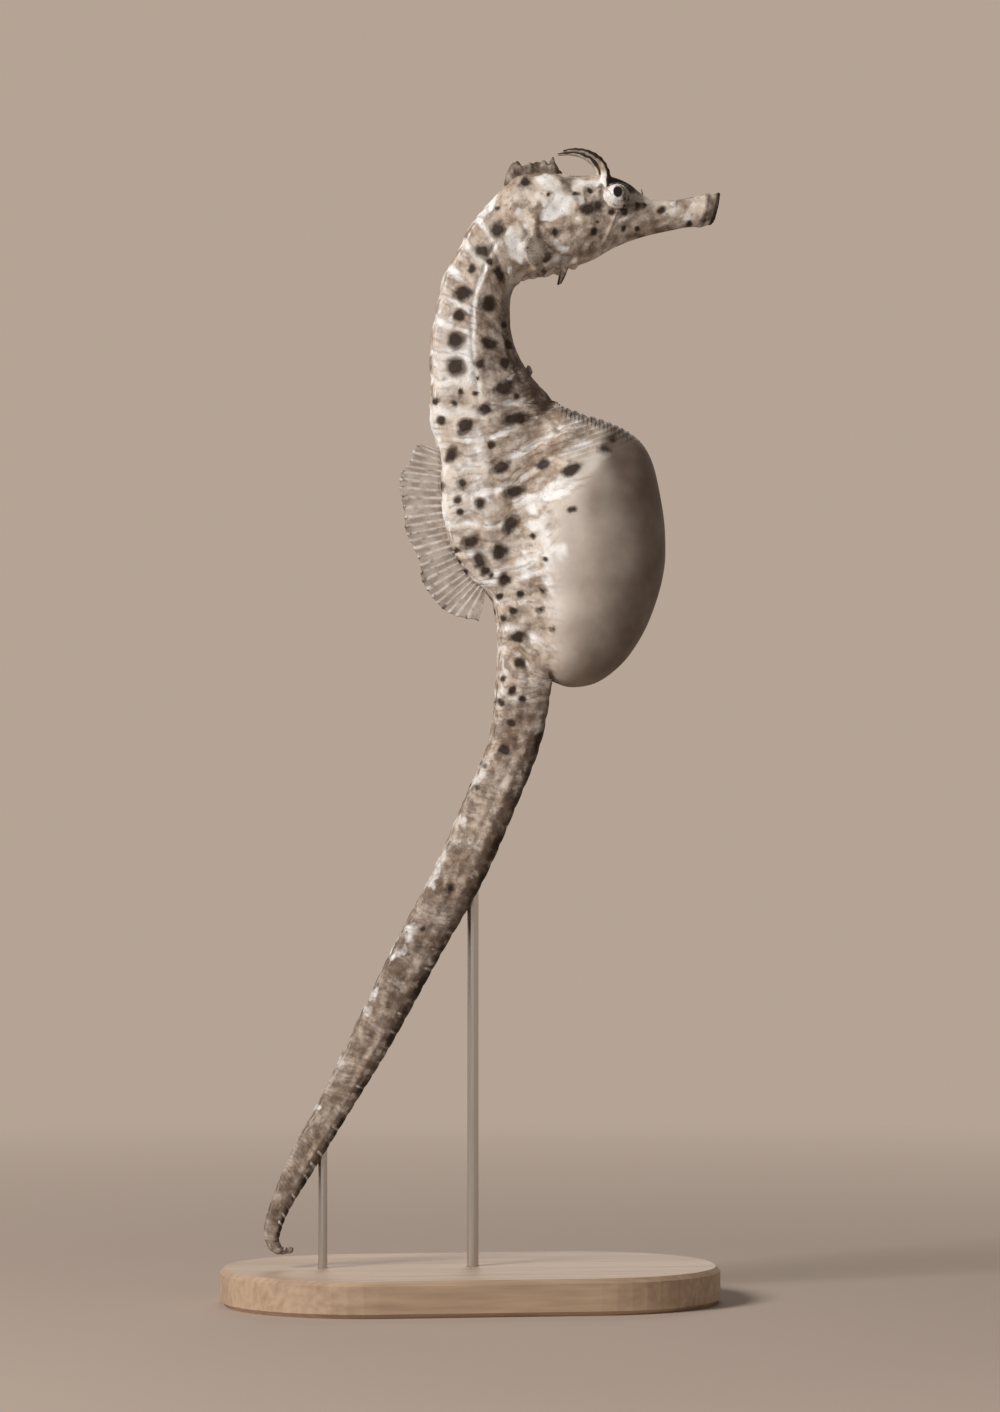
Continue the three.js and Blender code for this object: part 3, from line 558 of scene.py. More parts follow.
def head_relief(surface):
    """Gill cover, brow, throat and the small bumps of the head."""
    x, y, z = axes(surface.points)
    mark, share = surface.mark[:, None], share_round(surface)
    wide = step(1.0, 3.0, np.abs(y))
    head = 1 - step(9.6, 11.0, mark)
    # Gill cover: a dome with a rim that drops into a groove behind and below it.
    cover = middle_mm("gill_cover_right")
    dx, dz = (x - cover[0] + 1.2) / 5.9, (z - cover[2] + 0.4) / 6.6
    out = np.hypot(dx, dz)
    low_side = step(-0.6, 0.4, -(dz * 0.8 + dx * 0.6))
    height = wide * 0.4 * (1 - step(0.4, 1.1, out))
    height += wide * low_side * (0.25 * bell(out, 0.93, 0.10) - 0.3 * bell(out, 1.12, 0.12))
    # Brow: a ridge from behind the eye over its top and down towards the snout.
    from_eye, bearing = round_eye(x, z)
    height += wide * head * 0.7 * bell(from_eye, 4.0, 0.8) * within(-20, 130, bearing, 22)
    height += wide * head * 0.35 * bell(from_eye, 4.6, 0.7) * within(-130, -40, bearing, 25)
    # A crease from the eye down to the jaw, and small bumps along the throat.
    crease = x - (31.6 - (238.0 - z) * 0.42)
    fold = 0.35 * bell(crease, 0.55, 0.5) - 0.3 * bell(crease, -0.3, 0.4)
    height += wide * head * within(233.0, 239.6, z, 0.8) * fold
    height += step(0.72, 0.86, share) * zone("throat", mark) * 0.45 * ripple(x, y, z, 1.5, 5)
    # The crest of the nape and the temples.
    height += head * 0.35 * ridge_field(surface, 0, 0.9) * step(7.0, 8.5, mark)
    temples = zone("temples", mark) * within(0.12, 0.75, share, 0.1)
    height += temples * 0.16 * ripple(x, y, z, 1.8, 8)
    # The snout: faint long wrinkles, a rim and a groove behind the lips, and a short slit at the jaw.
    snout = 1 - step(2.6, 3.4, mark)
    height += snout * 0.05 * ripple(x, y * 3, z * 3, 2.2, 3)
    height += 0.26 * bell(mark, 0.1, 0.14) - 0.2 * bell(mark, 0.6, 0.16)
    return height - snout * (1 - step(0.0, 0.55, mark)) * 0.3 * bell(z, 238.6, 0.45) * wide


def sink_eyes(surface):
    """Sinks the skin round each eye under its lid, with a low fold round the hollow."""
    x, y, z = axes(surface.points)
    from_eye, _ = round_eye(x, z)
    near = (from_eye < 6) & (np.abs(y) > 0.8)
    fold = np.abs(y) + 0.3 * bell(from_eye, 4.0, 0.45)
    limit = abs(middle_mm("eye_right")[1]) + np.interp(from_eye, *zip(*EYE_HOLLOW))
    surface.points[:, :, 1] = np.where(near, np.sign(y) * np.minimum(fold, limit), y)


# ---------- markings ----------
# Dark spots on each flank as (x, z, radius), or (x, z, radius, dx, dz) for one drawn out as far as
# (x + dx, z + dz).
SPOTS = {
    "crown": [(11.3, 245.6, 1.1, 0.5, 0.7), (16.8, 243.3, 0.5), (5.4, 240.5, 0.5), (8.2, 240.0, 0.4)],
    "temple": [(22.2, 243.4, 0.6, 0.9, 0.2), (25.9, 244.4, 0.6)],
    "cheek": [(24.7, 239.9, 1.3, 1.4, 0.4), (27.6, 241.0, 0.9), (18.0, 235.1, 0.8), (26.7, 235.1, 0.8),
              (27.5, 237.5, 0.5)],
    "below the eye": [
        (30.3, 239.5, 0.85, 0.6, 0.3), (33.7, 239.9, 0.9), (33.4, 236.1, 0.6), (36.6, 236.3, 0.6)
    ],
    "snout": [(36.6, 241.4, 0.6), (38.2, 241.2, 0.6), (41.8, 240.0, 0.7, 0.5, 0.7), (48.5, 237.5, 0.7)],
    "back": [
        (5.2, 235.4, 1.7), (2.1, 230.9, 1.7), (-0.3, 226.7, 1.0), (-2.4, 221.5, 1.8), (-3.1, 216.7, 1.3),
        (-3.9, 211.2, 1.8), (-3.9, 205.4, 2.0), (-2.7, 199.8, 0.8), (-4.3, 197.6, 0.8), (-8.2, 197.9, 0.7),
        (-7.1, 193.6, 1.0), (-2.3, 191.6, 1.35, 0.6, 1.3), (-4.8, 185.7, 1.4, 0.3, 1.0), (-2.5, 179.7, 1.1),
        (-7.4, 179.2, 1.1), (-3.4, 176.3, 0.9), (-3.0, 173.4, 0.8), (1.4, 175.4, 1.2), (-6.8, 169.8, 0.9),
        (-5.6, 166.7, 0.7), (-3.4, 165.3, 0.7), (-3.6, 163.0, 0.9), (-1.3, 166.7, 1.4, 1.3, 0.8),
        (1.0, 163.8, 1.2, 0.4, -1.4), (2.4, 160.6, 0.9), (-2.0, 160.4, 1.0), (3.8, 159.5, 0.6)
    ],
    "side": [
        (3.6, 228.4, 0.9), (5.0, 226.4, 1.15, 1.1, -1.3), (3.5, 219.3, 1.8), (6.9, 214.7, 0.9),
        (3.5, 210.5, 1.7), (8.1, 210.5, 1.2), (1.3, 206.2, 1.3), (6.9, 206.2, 1.3),
        (5.8, 200.6, 1.6, 1.8, 0.2), (9.6, 199.0, 0.8), (2.4, 196.0, 1.3), (6.6, 193.6, 1.3, 4.6, 0.6),
        (3.5, 188.3, 0.9), (0.1, 199.4, 0.7), (1.0, 202.8, 0.5)
    ],
    "flank": [
        (4.8, 182.9, 1.25, 2.0, 1.0), (14.2, 183.8, 1.0, 1.2, 0.5), (20.0, 182.3, 1.25, 1.8, 1.1),
        (7.5, 177.5, 1.35, 2.4, 0.9), (20.4, 174.0, 0.8, 0.8, 0.3), (7.2, 169.8, 1.35, 1.2, 2.0),
        (12.5, 168.2, 0.7), (5.7, 164.8, 1.8), (14.9, 163.1, 0.6), (6.8, 158.8, 1.4), (10.2, 155.7, 0.9),
        (5.9, 155.0, 0.9), (14.8, 156.1, 0.8), (8.9, 151.8, 0.9), (14.3, 152.1, 1.0), (6.8, 150.5, 0.8)
    ],
    "root of the tail": [
        (8.5, 146.1, 1.2, 1.9, 0.3), (17.0, 147.8, 0.6), (10.2, 140.5, 1.2), (6.8, 137.1, 0.7),
        (8.7, 134.6, 0.8), (10.9, 132.8, 0.9), (6.2, 131.8, 0.8), (8.4, 127.4, 0.9), (6.8, 121.4, 1.4)
    ],
    "pouch": [(28.3, 187.3, 1.4), (30.5, 189.8, 1.0)],
    "tail": [(2.7, 118.0, 0.6), (1.0, 113.3, 0.7), (-5.0, 91.3, 1.1), (-10.9, 82.3, 0.9)],
}
FAINT = ("pouch", "tail")
STRONG = tuple(name for name in SPOTS if name not in FAINT)
LID_SPOTS = [(33.6, 241.0, 0.4), (34.5, 242.3, 0.4), (29.9, 245.5, 0.45)]
EYE_DOTS = [(33.4, 242.4, 0.42), (34.3, 243.0, 0.4)]    # dark dots on the iris
BROW_DEPTH = 1.45               # how dark the brow is: 1 is no darker than the broad pigment

# Brush strokes on each side as (x, z) of one end, (x, z) of the other, radius and strength: pigment, but for
# painted shade in the gill slit.
DARK_STROKES = {
    "brow": [(30.2, 248.6, 31.0, 247.4, 0.8, 0.95), (31.0, 247.4, 33.0, 246.6, 0.8, 0.95),
             (33.0, 246.6, 34.8, 245.4, 0.8, 0.95), (34.8, 245.4, 35.5, 243.1, 0.8, 0.8),
             (35.5, 243.1, 34.5, 241.2, 0.6, 0.65)],
    "round the eye": [(35.8, 244.3, 37.2, 241.4, 1.1, 0.6), (36.2, 241.4, 38.4, 241.1, 0.8, 0.9),
                      (27.9, 245.0, 28.2, 242.9, 0.9, 0.9), (28.4, 242.6, 27.8, 240.8, 1.2, 0.95),
                      (28.0, 241.1, 24.8, 239.8, 1.5, 0.95), (26.0, 244.5, 26.0, 243.0, 0.9, 0.75),
                      (29.3, 240.6, 31.5, 239.9, 0.8, 0.7), (31.8, 239.8, 34.4, 240.6, 0.8, 0.7)],
    "temple": [(19.4, 247.2, 21.9, 244.2, 1.3, 0.8), (21.9, 244.2, 22.9, 242.4, 1.1, 0.65)],
    # Along the cover's rear and lower edge, these strokes are painted shade in the gill slit.
    "gill cover": [(13.4, 234.8, 14.7, 233.2, 0.8, 0.75), (14.7, 233.2, 17.0, 231.6, 0.9, 0.85),
                   (17.0, 231.6, 15.3, 226.8, 1.1, 1.0), (17.0, 231.6, 19.8, 231.4, 0.8, 0.8),
                   (15.6, 236.9, 16.5, 234.8, 0.7, 0.55), (11.0, 234.4, 11.4, 233.8, 0.8, 0.6),
                   (13.2, 240.2, 13.5, 239.6, 1.4, 0.55)],
    "cheek and throat": [(22.0, 232.4, 28.0, 233.6, 2.0, 0.25), (33.4, 237.0, 34.0, 235.0, 1.6, 0.3),
                         (19.0, 229.0, 28.0, 232.0, 1.6, 0.5), (28.0, 232.2, 33.0, 233.8, 1.2, 0.4),
                         (15.6, 227.8, 19.0, 228.6, 1.0, 0.45)],
    "snout": [(36.5, 234.6, 50.0, 236.4, 1.1, 0.8), (51.6, 237.6, 53.2, 244.6, 0.8, 0.85),
              (36.5, 244.4, 44.0, 243.2, 0.7, 0.6), (44.0, 243.2, 54.0, 245.0, 0.6, 0.5),
              (40.0, 240.0, 41.0, 239.2, 1.0, 0.5), (38.0, 238.6, 44.0, 237.8, 0.9, 0.35),
              (44.6, 241.2, 47.0, 241.0, 0.9, 0.3)],
    "foot of the coronet": [(9.0, 248.6, 17.5, 248.9, 1.5, 0.7), (10.0, 246.4, 12.0, 245.4, 1.2, 0.4),
                            (3.6, 240.2, 2.4, 238.4, 0.8, 0.35)],
    "breast": [(10.3, 203.4, 14.1, 199.6, 1.9, 0.95), (14.1, 199.6, 17.6, 197.3, 2.0, 0.97),
               (13.2, 197.3, 18.6, 192.3, 1.1, 0.75), (5.9, 196.2, 13.2, 192.3, 2.0, 0.6),
               (20.6, 190.3, 14.8, 186.8, 0.8, 0.5)],
    "lines down the trunk": [(3.0, 184.6, 12.6, 188.1, 0.45, 0.6), (12.6, 188.1, 20.8, 190.3, 0.45, 0.6),
                             (20.8, 190.3, 25.2, 194.7, 0.45, 0.6), (12.6, 185.9, 19.2, 188.1, 0.45, 0.55),
                             (19.2, 188.1, 26.6, 193.4, 0.45, 0.55), (11.0, 176.9, 17.7, 178.6, 0.4, 0.45),
                             (17.7, 178.6, 25.2, 181.5, 0.4, 0.45), (13.2, 173.6, 19.9, 176.9, 0.4, 0.4),
                             (19.9, 176.9, 26.6, 180.2, 0.4, 0.4)],
}
PALE_STROKES = {
    "crown and temple": [(25.6, 245.0, 28.8, 246.6, 1.3, 1.0), (22.6, 244.8, 25.6, 245.2, 1.2, 0.9),
                         (15.4, 246.2, 18.0, 245.4, 2.0, 1.0), (8.4, 248.4, 2.0, 238.2, 0.8, 1.0),
                         (14.2, 242.4, 15.4, 241.0, 1.6, 0.7), (23.6, 242.6, 24.6, 242.0, 1.2, 0.6)],
    # The three thin strokes along the cover's lower rim are a painted highlight.
    "gill cover": [(19.6, 242.6, 19.0, 239.8, 2.0, 1.05), (18.4, 238.9, 16.0, 238.7, 1.4, 0.9),
                   (10.6, 238.6, 11.8, 237.0, 1.5, 0.6), (23.0, 237.4, 25.0, 236.4, 1.4, 0.45),
                   (18.8, 232.6, 20.8, 231.8, 1.0, 0.9), (15.2, 233.4, 16.7, 231.9, 0.4, 0.9),
                   (16.7, 231.9, 18.7, 232.1, 0.4, 0.9), (18.7, 232.1, 19.6, 232.8, 0.4, 0.8)],
    "nape and throat": [(8.2, 234.6, 11.2, 233.2, 1.7, 1.1), (9.2, 231.8, 10.4, 229.2, 1.8, 1.1),
                        (12.2, 232.8, 12.8, 230.4, 1.1, 0.55), (18.2, 229.0, 20.8, 229.8, 1.3, 0.75),
                        (8.0, 226.4, 9.4, 222.6, 0.8, 0.6), (20.6, 226.6, 23.0, 228.0, 0.5, 0.4)],
    "eye and snout": [(30.2, 240.8, 31.8, 240.2, 0.5, 0.6), (32.6, 239.2, 31.0, 236.4, 0.35, 0.9),
                      (38.6, 242.2, 44.0, 242.0, 0.6, 0.35), (42.4, 241.6, 45.0, 240.0, 0.7, 0.4),
                      (47.6, 240.6, 49.6, 238.8, 0.9, 0.5)],
    "breast": [(8.0, 203.2, 9.3, 204.2, 0.7, 0.5), (13.3, 199.9, 11.0, 198.2, 0.8, 0.5),
               (11.0, 198.2, 3.0, 197.2, 0.8, 0.55), (15.0, 195.0, 12.6, 193.0, 0.9, 0.5)],
    "beside the pouch": [(10.0, 175.0, 17.0, 177.6, 2.0, 0.95), (17.0, 177.8, 22.4, 181.8, 2.8, 0.8),
                         (22.4, 181.8, 27.2, 186.0, 1.7, 0.45), (3.0, 158.2, 15.6, 164.4, 1.2, 0.9),
                         (14.0, 171.0, 16.0, 164.0, 2.2, 0.8), (15.0, 160.0, 16.5, 156.0, 1.6, 0.7)],
}

# Pale patches along the tail as (x, z, radius).
TAIL_PALE = [
    (6.0, 134.4, 1.6), (2.4, 118.2, 1.9), (0.9, 115.2, 1.9), (-6.4, 97.7, 2.0), (-8.0, 94.8, 2.2),
    (-9.6, 92.2, 1.8), (-2.4, 106.0, 1.6), (-13.2, 82.4, 2.2), (-14.8, 79.6, 2.2), (-16.0, 77.0, 1.6),
    (-22.2, 68.0, 1.6), (-23.6, 65.4, 1.4), (-30.0, 52.6, 1.7), (-31.4, 49.6, 1.7), (-34.6, 43.1, 1.5)
]


def blot(x, z, spots):
    """How far inside the nearest spot a point lies: 1 at a spot's middle, 0 at its rim, less outside."""
    inside = np.full(x.shape, -1.0)
    for spot_x, spot_z, radius, *reach in spots:
        dx, dz = reach or (1e-3, 0.0)
        drawn = math.hypot(dx, dz)
        off_x, off_z = x - spot_x - dx / 2, z - spot_z - dz / 2
        along = (off_x * dx + off_z * dz) / drawn / (radius + drawn / 2)
        across = (off_z * dx - off_x * dz) / drawn / radius
        inside = np.maximum(inside, 1 - np.hypot(along, across))
    return inside


def brushed(x, z, strokes):
    """How strongly the strokes cover a point, from 0 to 1."""
    cover = np.zeros(x.shape)
    for x1, z1, x2, z2, radius, strength in strokes:
        dx, dz = x2 - x1, z2 - z1
        along = np.clip(((x - x1) * dx + (z - z1) * dz) / max(dx ** 2 + dz ** 2, 1e-6), 0, 1)
        away = np.hypot(x - x1 - along * dx, z - z1 - along * dz) / radius
        cover = np.maximum(cover, strength * (1 - step(0.35, 1.35, away)))
    return cover


def brow_shade(x, z, inner=2.5):
    """The dark brow over and before each eye, from 0 to 1, from a distance from the eye's middle outwards."""
    from_eye, bearing = round_eye(x, z)
    dark = step(inner, inner + 0.2, from_eye) * (1 - step(4.4, 5.6, from_eye)) * within(8, 128, bearing, 22)
    front = step(inner, inner + 0.4, from_eye) * (1 - step(4.0, 6.4, from_eye)) * within(-64, 30, bearing, 26)
    return np.maximum(0.97 * dark, 0.62 * front)


def strayed(x, y, z, left):
    """Side-view places moved a little to and fro, so that rims are ragged and the two flanks differ."""
    drift_x, drift_z = (np.where(left, 0.9 * ripple(x, y * 0, z, 9, seed), 0) for seed in (21, 22))
    wobble_x, wobble_z = (0.16 * ripple(x, y, z, 2.0, seed) for seed in (23, 24))
    fine_x, fine_z = (0.12 * ripple(x, y, z, 0.9, seed) for seed in (25, 26))
    return x + drift_x + wobble_x + fine_x, z + drift_z + wobble_z + fine_z


def shared_fields(surface):
    """The fields that several of the markings are made from."""
    x, y, z = axes(surface.points)
    mark, share = surface.mark[:, None], share_round(surface)
    sx, sz = strayed(x, y, z, surface.side > 0)
    # Brush strokes are more ragged than spots.
    bx, bz = (place + 0.4 * ripple(x, y, z, 1.7, seed) + 0.7 * ripple(x, y, z, 4.0, seed + 2)
              for place, seed in ((sx, 27), (sz, 28)))
    before = share - surface.ridges[:, 1:2] / surface.girth[:, None]
    tail = step(26.0, 29.5, mark)
    strong = blot(sx, sz, flat(SPOTS, STRONG))
    pouch = pouch_mask(surface)
    patchy, broad = ripple(x, y, z, 3.0, 42), ripple(x, y, z, 7.0, 43)
    ticks = step(0.6, 0.66, share + 0.01 * patchy) * tail * bell(off_joint(surface), 0, 0.085)
    crest = (1 - step(1.4, 3.8, crest_line(x) - z)) * within(19.0, 35.0, x, 1.6) * zone("pouch's crest", mark)
    return types.SimpleNamespace(
        mark=mark, share=share, sx=sx, sz=sz, bx=bx, bz=bz, tail=tail, pouch=pouch, off_pouch=1 - pouch,
        patchy=patchy, broad=broad, crest=crest,
        before=before,                              # above 0 on the fore side of the flank's ridge
        dorsal=1 - step(-0.04, 0.04, before),
        joint=bell(off_joint(surface), 0, 0.17), body=step(9.3, 10.6, mark),
        head=1 - step(9.4, 10.8, mark), trunk=zone("trunk", mark), neck=zone("neck", mark),
        strong=strong, halo=step(-0.6, 0.1, strong),    # the halo fades out round each spot
        brow=brow_shade(sx, sz) * (mark < 9), dark_strokes=brushed(bx, bz, flat(DARK_STROKES)),
        ticks=ticks * step(31.0, 32.0, mark) * (0.35 + 0.3 * step(32, 36, mark)),
        lips=np.maximum(1 - step(0.08, 0.22, mark), 0.85 * bell(mark, 0.46, 0.11)))


def flat(groups, names=None):
    """All the rows of a table's groups, or of the named ones, as one list."""
    return [row for name in (names or groups) for row in groups[name]]


def spot_field(f):
    """The spots: 1 at a spot's middle, 0 at its rim, less outside. The lips, the brow and the tail's keel are
    as dark; the keel is dark pigment with painted shade on the tail's underside.
    """
    keel = step(0.6, 0.74, f.share) * f.tail * (0.9 + 0.2 * f.patchy) * (1 - 0.8 * f.ticks)
    return most(f.strong, 0.55 * blot(f.sx, f.sz, flat(SPOTS, FAINT)),
                BROW_DEPTH * f.brow - 1, 1.25 * keel - 1, 1.3 * f.lips - 1)


def pale_field(surface, f):
    """Pale: the ridges, the joints between the rings, the pale patches, a painted highlight on the gill
    cover's rim and a band of painted light beside the pouch.
    """
    x, _, z = axes(surface.points)
    flank_ridge, upper_ridge = ridge_field(surface, 1, 0.7), ridge_field(surface, 0, 0.5)
    bands = f.joint * f.body * f.off_pouch * (0.75 + 0.35 * f.patchy)
    fore_bands = (1 - f.dorsal) * (0.85 * f.trunk + 0.22 * f.neck)
    wall = 19.0 + (z - 166) * 0.12                  # where the side of the pouch starts, for each height
    band = bell(x, wall + 1.0, np.where(x > wall + 1.0, 6.0, 4.0)) * step(0.3, 0.4, f.share)
    pale = most(
        np.clip(blot(f.bx, f.bz, TAIL_PALE) * 1.3, 0, 0.62) * (1 - step(0.3, 0.5, f.share)),
        # the neck's flank ridge, the upper ridge and the joints
        flank_ridge * f.body * (1 - step(16.6, 18.6, f.mark)),
        0.6 * upper_ridge * f.body * (1 - 0.6 * f.tail),
        bands * (f.dorsal * (0.95 - 0.75 * f.tail) + fore_bands),
        # the back, the ticks under the tail, and the band beside the pouch, painted light where the side of
        # the pouch turns to the key light
        (0.36 + 0.4 * f.broad) * f.dorsal * zone("pale back", f.mark),
        f.ticks,
        (0.85 - 0.55 * f.pouch) * zone("pale wall", f.mark) * band)
    strokes = brushed(f.bx, f.bz, flat(PALE_STROKES)) * (0.9 + 0.3 * f.patchy) * (1 - 0.75 * f.dark_strokes)
    return np.maximum(pale * (1 - f.dark_strokes), strokes) * (1 - 0.6 * f.halo)


def dusk_field(surface, f):
    """Dusk: dark pigment over the head, the fore side of the neck, the pouch and the tail, with painted shade
    on the pouch's far side, the neck's fore side, the tail's underside and in the pleats.
    """
    x, y, z = axes(surface.points)
    plate = 1 - f.joint
    fore_neck = zone("fore side of the neck", f.mark) * step(0.0, 0.05, f.before)
    keel_from, keel_to = (np.interp(f.mark, (10, 14, 17), shares) for shares in KEEL_SHARES)
    keel = step(keel_from, keel_to, f.share) * zone("dark keel", f.mark)
    blocks = step(0.0, 0.04, f.before) * (1 - step(0.16, 0.26, f.before)) * f.off_pouch
    blocks = blocks * zone("blocks", f.mark)
    # The pouch's far side, away from the key light, is painted in shade along with its dark pigment; lit is
    # the share that stays pale.
    heights, fronts, softness = zip(*POUCH_SHADE)
    clouds = 0.10 * ripple(x, y, z, 13, 61) + 0.05 * ripple(x, y, z, 5, 62)
    past_front = (x - np.interp(z, heights, fronts)) / np.interp(z, heights, softness)
    lit = 1 - np.clip(past_front + 0.5 + clouds, 0, 1)
    where, wave = pleats(surface)
    side = np.interp(f.mark, *zip(*TAIL_TONES)) + 0.22 * f.broad + 0.1 * f.patchy
    return most(
        f.dark_strokes, f.brow, 0.5 * f.halo * f.off_pouch, 0.6 * f.crest, 0.9 * f.lips,
        # the fore side of the neck and its keel: dark pigment, with painted shade on this side away from the
        # key light
        (0.64 - 0.14 * step(16.5, 18.5, f.mark)) * fore_neck * (0.85 + 0.3 * f.patchy),
        (0.85 + 0.15 * step(13, 16, f.mark)) * keel,
        # the plates of the neck's back, of the trunk's back and of the flank
        0.5 * plate * f.neck * f.dorsal * np.clip(0.4 + 0.8 * f.patchy, 0, 1),
        plate * f.trunk * f.off_pouch * f.dorsal * (0.18 + 0.3 * f.patchy),
        0.42 * blocks * plate * np.clip(0.5 + 0.5 * f.patchy + 0.4 * f.broad, 0, 1),
        # the pouch's front: dark pigment with painted shade on its far side; and painted shade in the valleys
        # of its pleats
        f.pouch * (0.97 - 0.92 * lit ** 2.0),
        0.5 * where * step(-0.2, 0.9, -wave),
        # the tail's sides; its underside and its root's front below the pouch, dark pigment with painted
        # shade
        f.tail * np.clip(side, 0.1, 0.9),
        0.97 * step(0.54, 0.64, f.share) * f.tail,
        0.9 * zone("under the pouch", f.mark) * step(0.66, 0.82, f.share) * f.off_pouch,
        # the lower half of the head
        f.head * (0.04 + 0.14 * f.patchy) * step(0.25, 0.5, f.share))


def markings(surface):
    """The fields that the skin's material paints by: each from 0 to 1, but for the spots and the ring's
    number."""
    f = shared_fields(surface)
    # The inside of the mouth, which the material paints near black as shade in its recess.
    mouth = np.zeros_like(f.pouch)
    mouth[:LIP_ROWS - 7] = 1
    return {
        "mottle": np.interp(f.mark, *zip(*MOTTLING)) * f.off_pouch,
        "spots": np.clip(spot_field(f), -1, 1),
        "pale": np.clip(pale_field(surface, f), 0, 1),
        "dusk": np.clip(dusk_field(surface, f), 0, 1),
        "pouch": f.pouch,
        "ring": surface.ring,
        "body": f.body * f.off_pouch,
        "tail": np.broadcast_to(f.tail, f.pouch.shape),
        "mouth": mouth,
        "crest": f.crest,
    }


# ---------- the separate pieces ----------
# The lids' section as (angle from the opening's middle in degrees, height over the eyeball), out over the
# collar and back beneath it.
LID_PROFILE = [
    (58, -0.30), (62, -0.04), (64, 0.05), (67, 0.12), (71, 0.15), (77, 0.15), (84, 0.13), (92, 0.12),
    (100, 0.10), (108, 0.05), (114, -0.15), (104, -0.45), (88, -0.5), (72, -0.5), (61, -0.45), (58, -0.30)
]

# The fins' roots and edges from the top down, as (x, z). The dorsal fin and the anal fin are in their places.
DORSAL_ROOT = [(-5.6, 187.6), (-5.2, 182.0), (-4.6, 174.0), (-2.4, 166.6), (0.6, 160.6), (3.6, 156.6)]
DORSAL_EDGE = [
    (-7.6, 187.8), (-11.9, 188.3), (-13.4, 184.8), (-15.3, 182.2), (-15.7, 178.4), (-14.6, 173.8),
    (-14.4, 169.6), (-12.9, 166.5), (-11.3, 162.6), (-10.8, 159.1), (-8.8, 155.4), (-6.4, 152.7),
    (-3.3, 150.9), (1.9, 149.8)
]
ANAL_ROOT = [(12.2, 205.2), (12.8, 204.4), (13.4, 203.6)]
ANAL_EDGE = [(12.8, 206.2), (13.4, 205.8), (13.9, 204.6)]
PECTORAL_ROOT = [(1.2, 1.9), (1.2, 0.6), (1.2, -0.6), (1.2, -1.9)]
PECTORAL_EDGE = [(-2.6, 3.2), (-3.9, 2.3), (-4.5, 0.8), (-4.5, -0.8), (-3.9, -2.3), (-2.6, -3.2)]
PECTORAL_PLACE = (15.0, 5.6, 231.0)   # where the fin's own (0, 0) lies on the left side of the head
PECTORAL_SPLAY = 0.7            # how far the fin stands out for its length
PECTORAL_LEAN = 0.34            # how far its top stands out past its foot for its height
DORSAL_RAYS, PECTORAL_RAYS, ANAL_RAYS = 27, 13, 4
DORSAL_WAVE, PECTORAL_WAVE, ANAL_WAVE = 0.35, 0.25, 0.1   # how far the edge sways to each side

# Spines from the root to the tip, on the left side, with the radius along them.
EYE_SPINE = np.array([(29.8, 1.4, 243.4), (29.7, 2.9, 246.0), (29.3, 3.5, 249.0), (28.0, 3.9, 251.2),
                      (25.6, 4.1, 252.7), (22.6, 4.2, 253.2), (19.9, 4.2, 252.9)])
EYE_SPINE_RADII = (1.9, 1.4, 0.92, 0.7, 0.54, 0.42, 0.26)
THROAT_SPINE = np.array([(21.0, 1.2, 228.2), (20.6, 1.4, 226.6), (20.2, 1.6, 225.2), (19.7, 1.7, 223.9)])
THROAT_SPINE_RADII = (0.9, 0.65, 0.45, 0.22)
NOSE_FILAMENT = np.array([(38.2, 0.0, 242.2), (38.4, 0.0, 243.6), (38.1, 0.0, 245.2)])
NOSE_FILAMENT_RADII = (0.35, 0.2, 0.1)

# The coronet: the height of its ragged top along the crown, as (x, z).
CORONET_TOP = [
    (7.4, 245.9), (8.0, 248.0), (8.9, 250.0), (10.2, 250.7), (11.6, 250.1), (13.2, 250.8), (14.8, 250.3),
    (16.6, 251.1), (17.5, 250.5), (18.5, 251.9), (19.1, 250.3), (20.2, 248.8), (21.8, 246.8)
]
CORONET_FOOT = 245.6


# ---------- grids of the separate pieces ----------
def full_turn(columns):
    """Bearings all the way round, as one row."""
    return np.linspace(0, 2 * math.pi, columns, endpoint=False)[None, :]


def lid_axis(side):
    """The way the opening between the lids faces."""
    return unit([-0.10, side * 1.0, -0.04])


def eye_grid(centre, side, radius):
    """An eyeball as a grid from the middle of the pupil to the back, with a low clear bulge over the iris."""
    rows, columns = 61, 72
    gaze = unit([-0.16, side * 3.0, 0.78])
    across = unit(np.cross(gaze, [1.0, 0.0, 0.0]))
    up = np.cross(across, gaze)
    polar = (np.linspace(0, 1, rows) ** 1.2 * math.pi)[:, None]
    turn = full_turn(columns)
    reach = radius * (1 + 0.045 * (1 - step(0.5, 0.95, polar)))
    aside = np.cos(turn)[..., None] * across + np.sin(turn)[..., None] * up
    direction = np.cos(polar)[..., None] * gaze + np.sin(polar)[..., None] * aside
    grid = centre + reach[..., None] * direction
    from_lids = np.degrees(np.arccos(np.clip(direction @ lid_axis(side), -1, 1)))
    # shaded: the right and upper side of the iris, under the brow, which the material paints in shade.
    shaded = step(-0.05, 0.5, direction @ np.array([0.9, 0.0, 0.2]))
    dots = step(-0.1, 0.3, blot(grid[..., 0], grid[..., 2], EYE_DOTS))
    chance = np.random.default_rng(7)
    streak = sum(np.sin(count * turn + chance.uniform(0, 6.28)) / 3 for count in (7, 11, 17, 23, 31))
    oval = polar * (1 + 0.28 * np.sin(turn) ** 2)
    grid[0], grid[-1] = grid[0].mean(axis=0), grid[-1].mean(axis=0)
    return grid, {"polar": oval * radius, "streak": np.clip(0.5 + 0.3 * streak, 0, 1) + 0 * polar,
                  "rim": step(52, 68, from_lids), "shaded": shaded, "dots": dots}


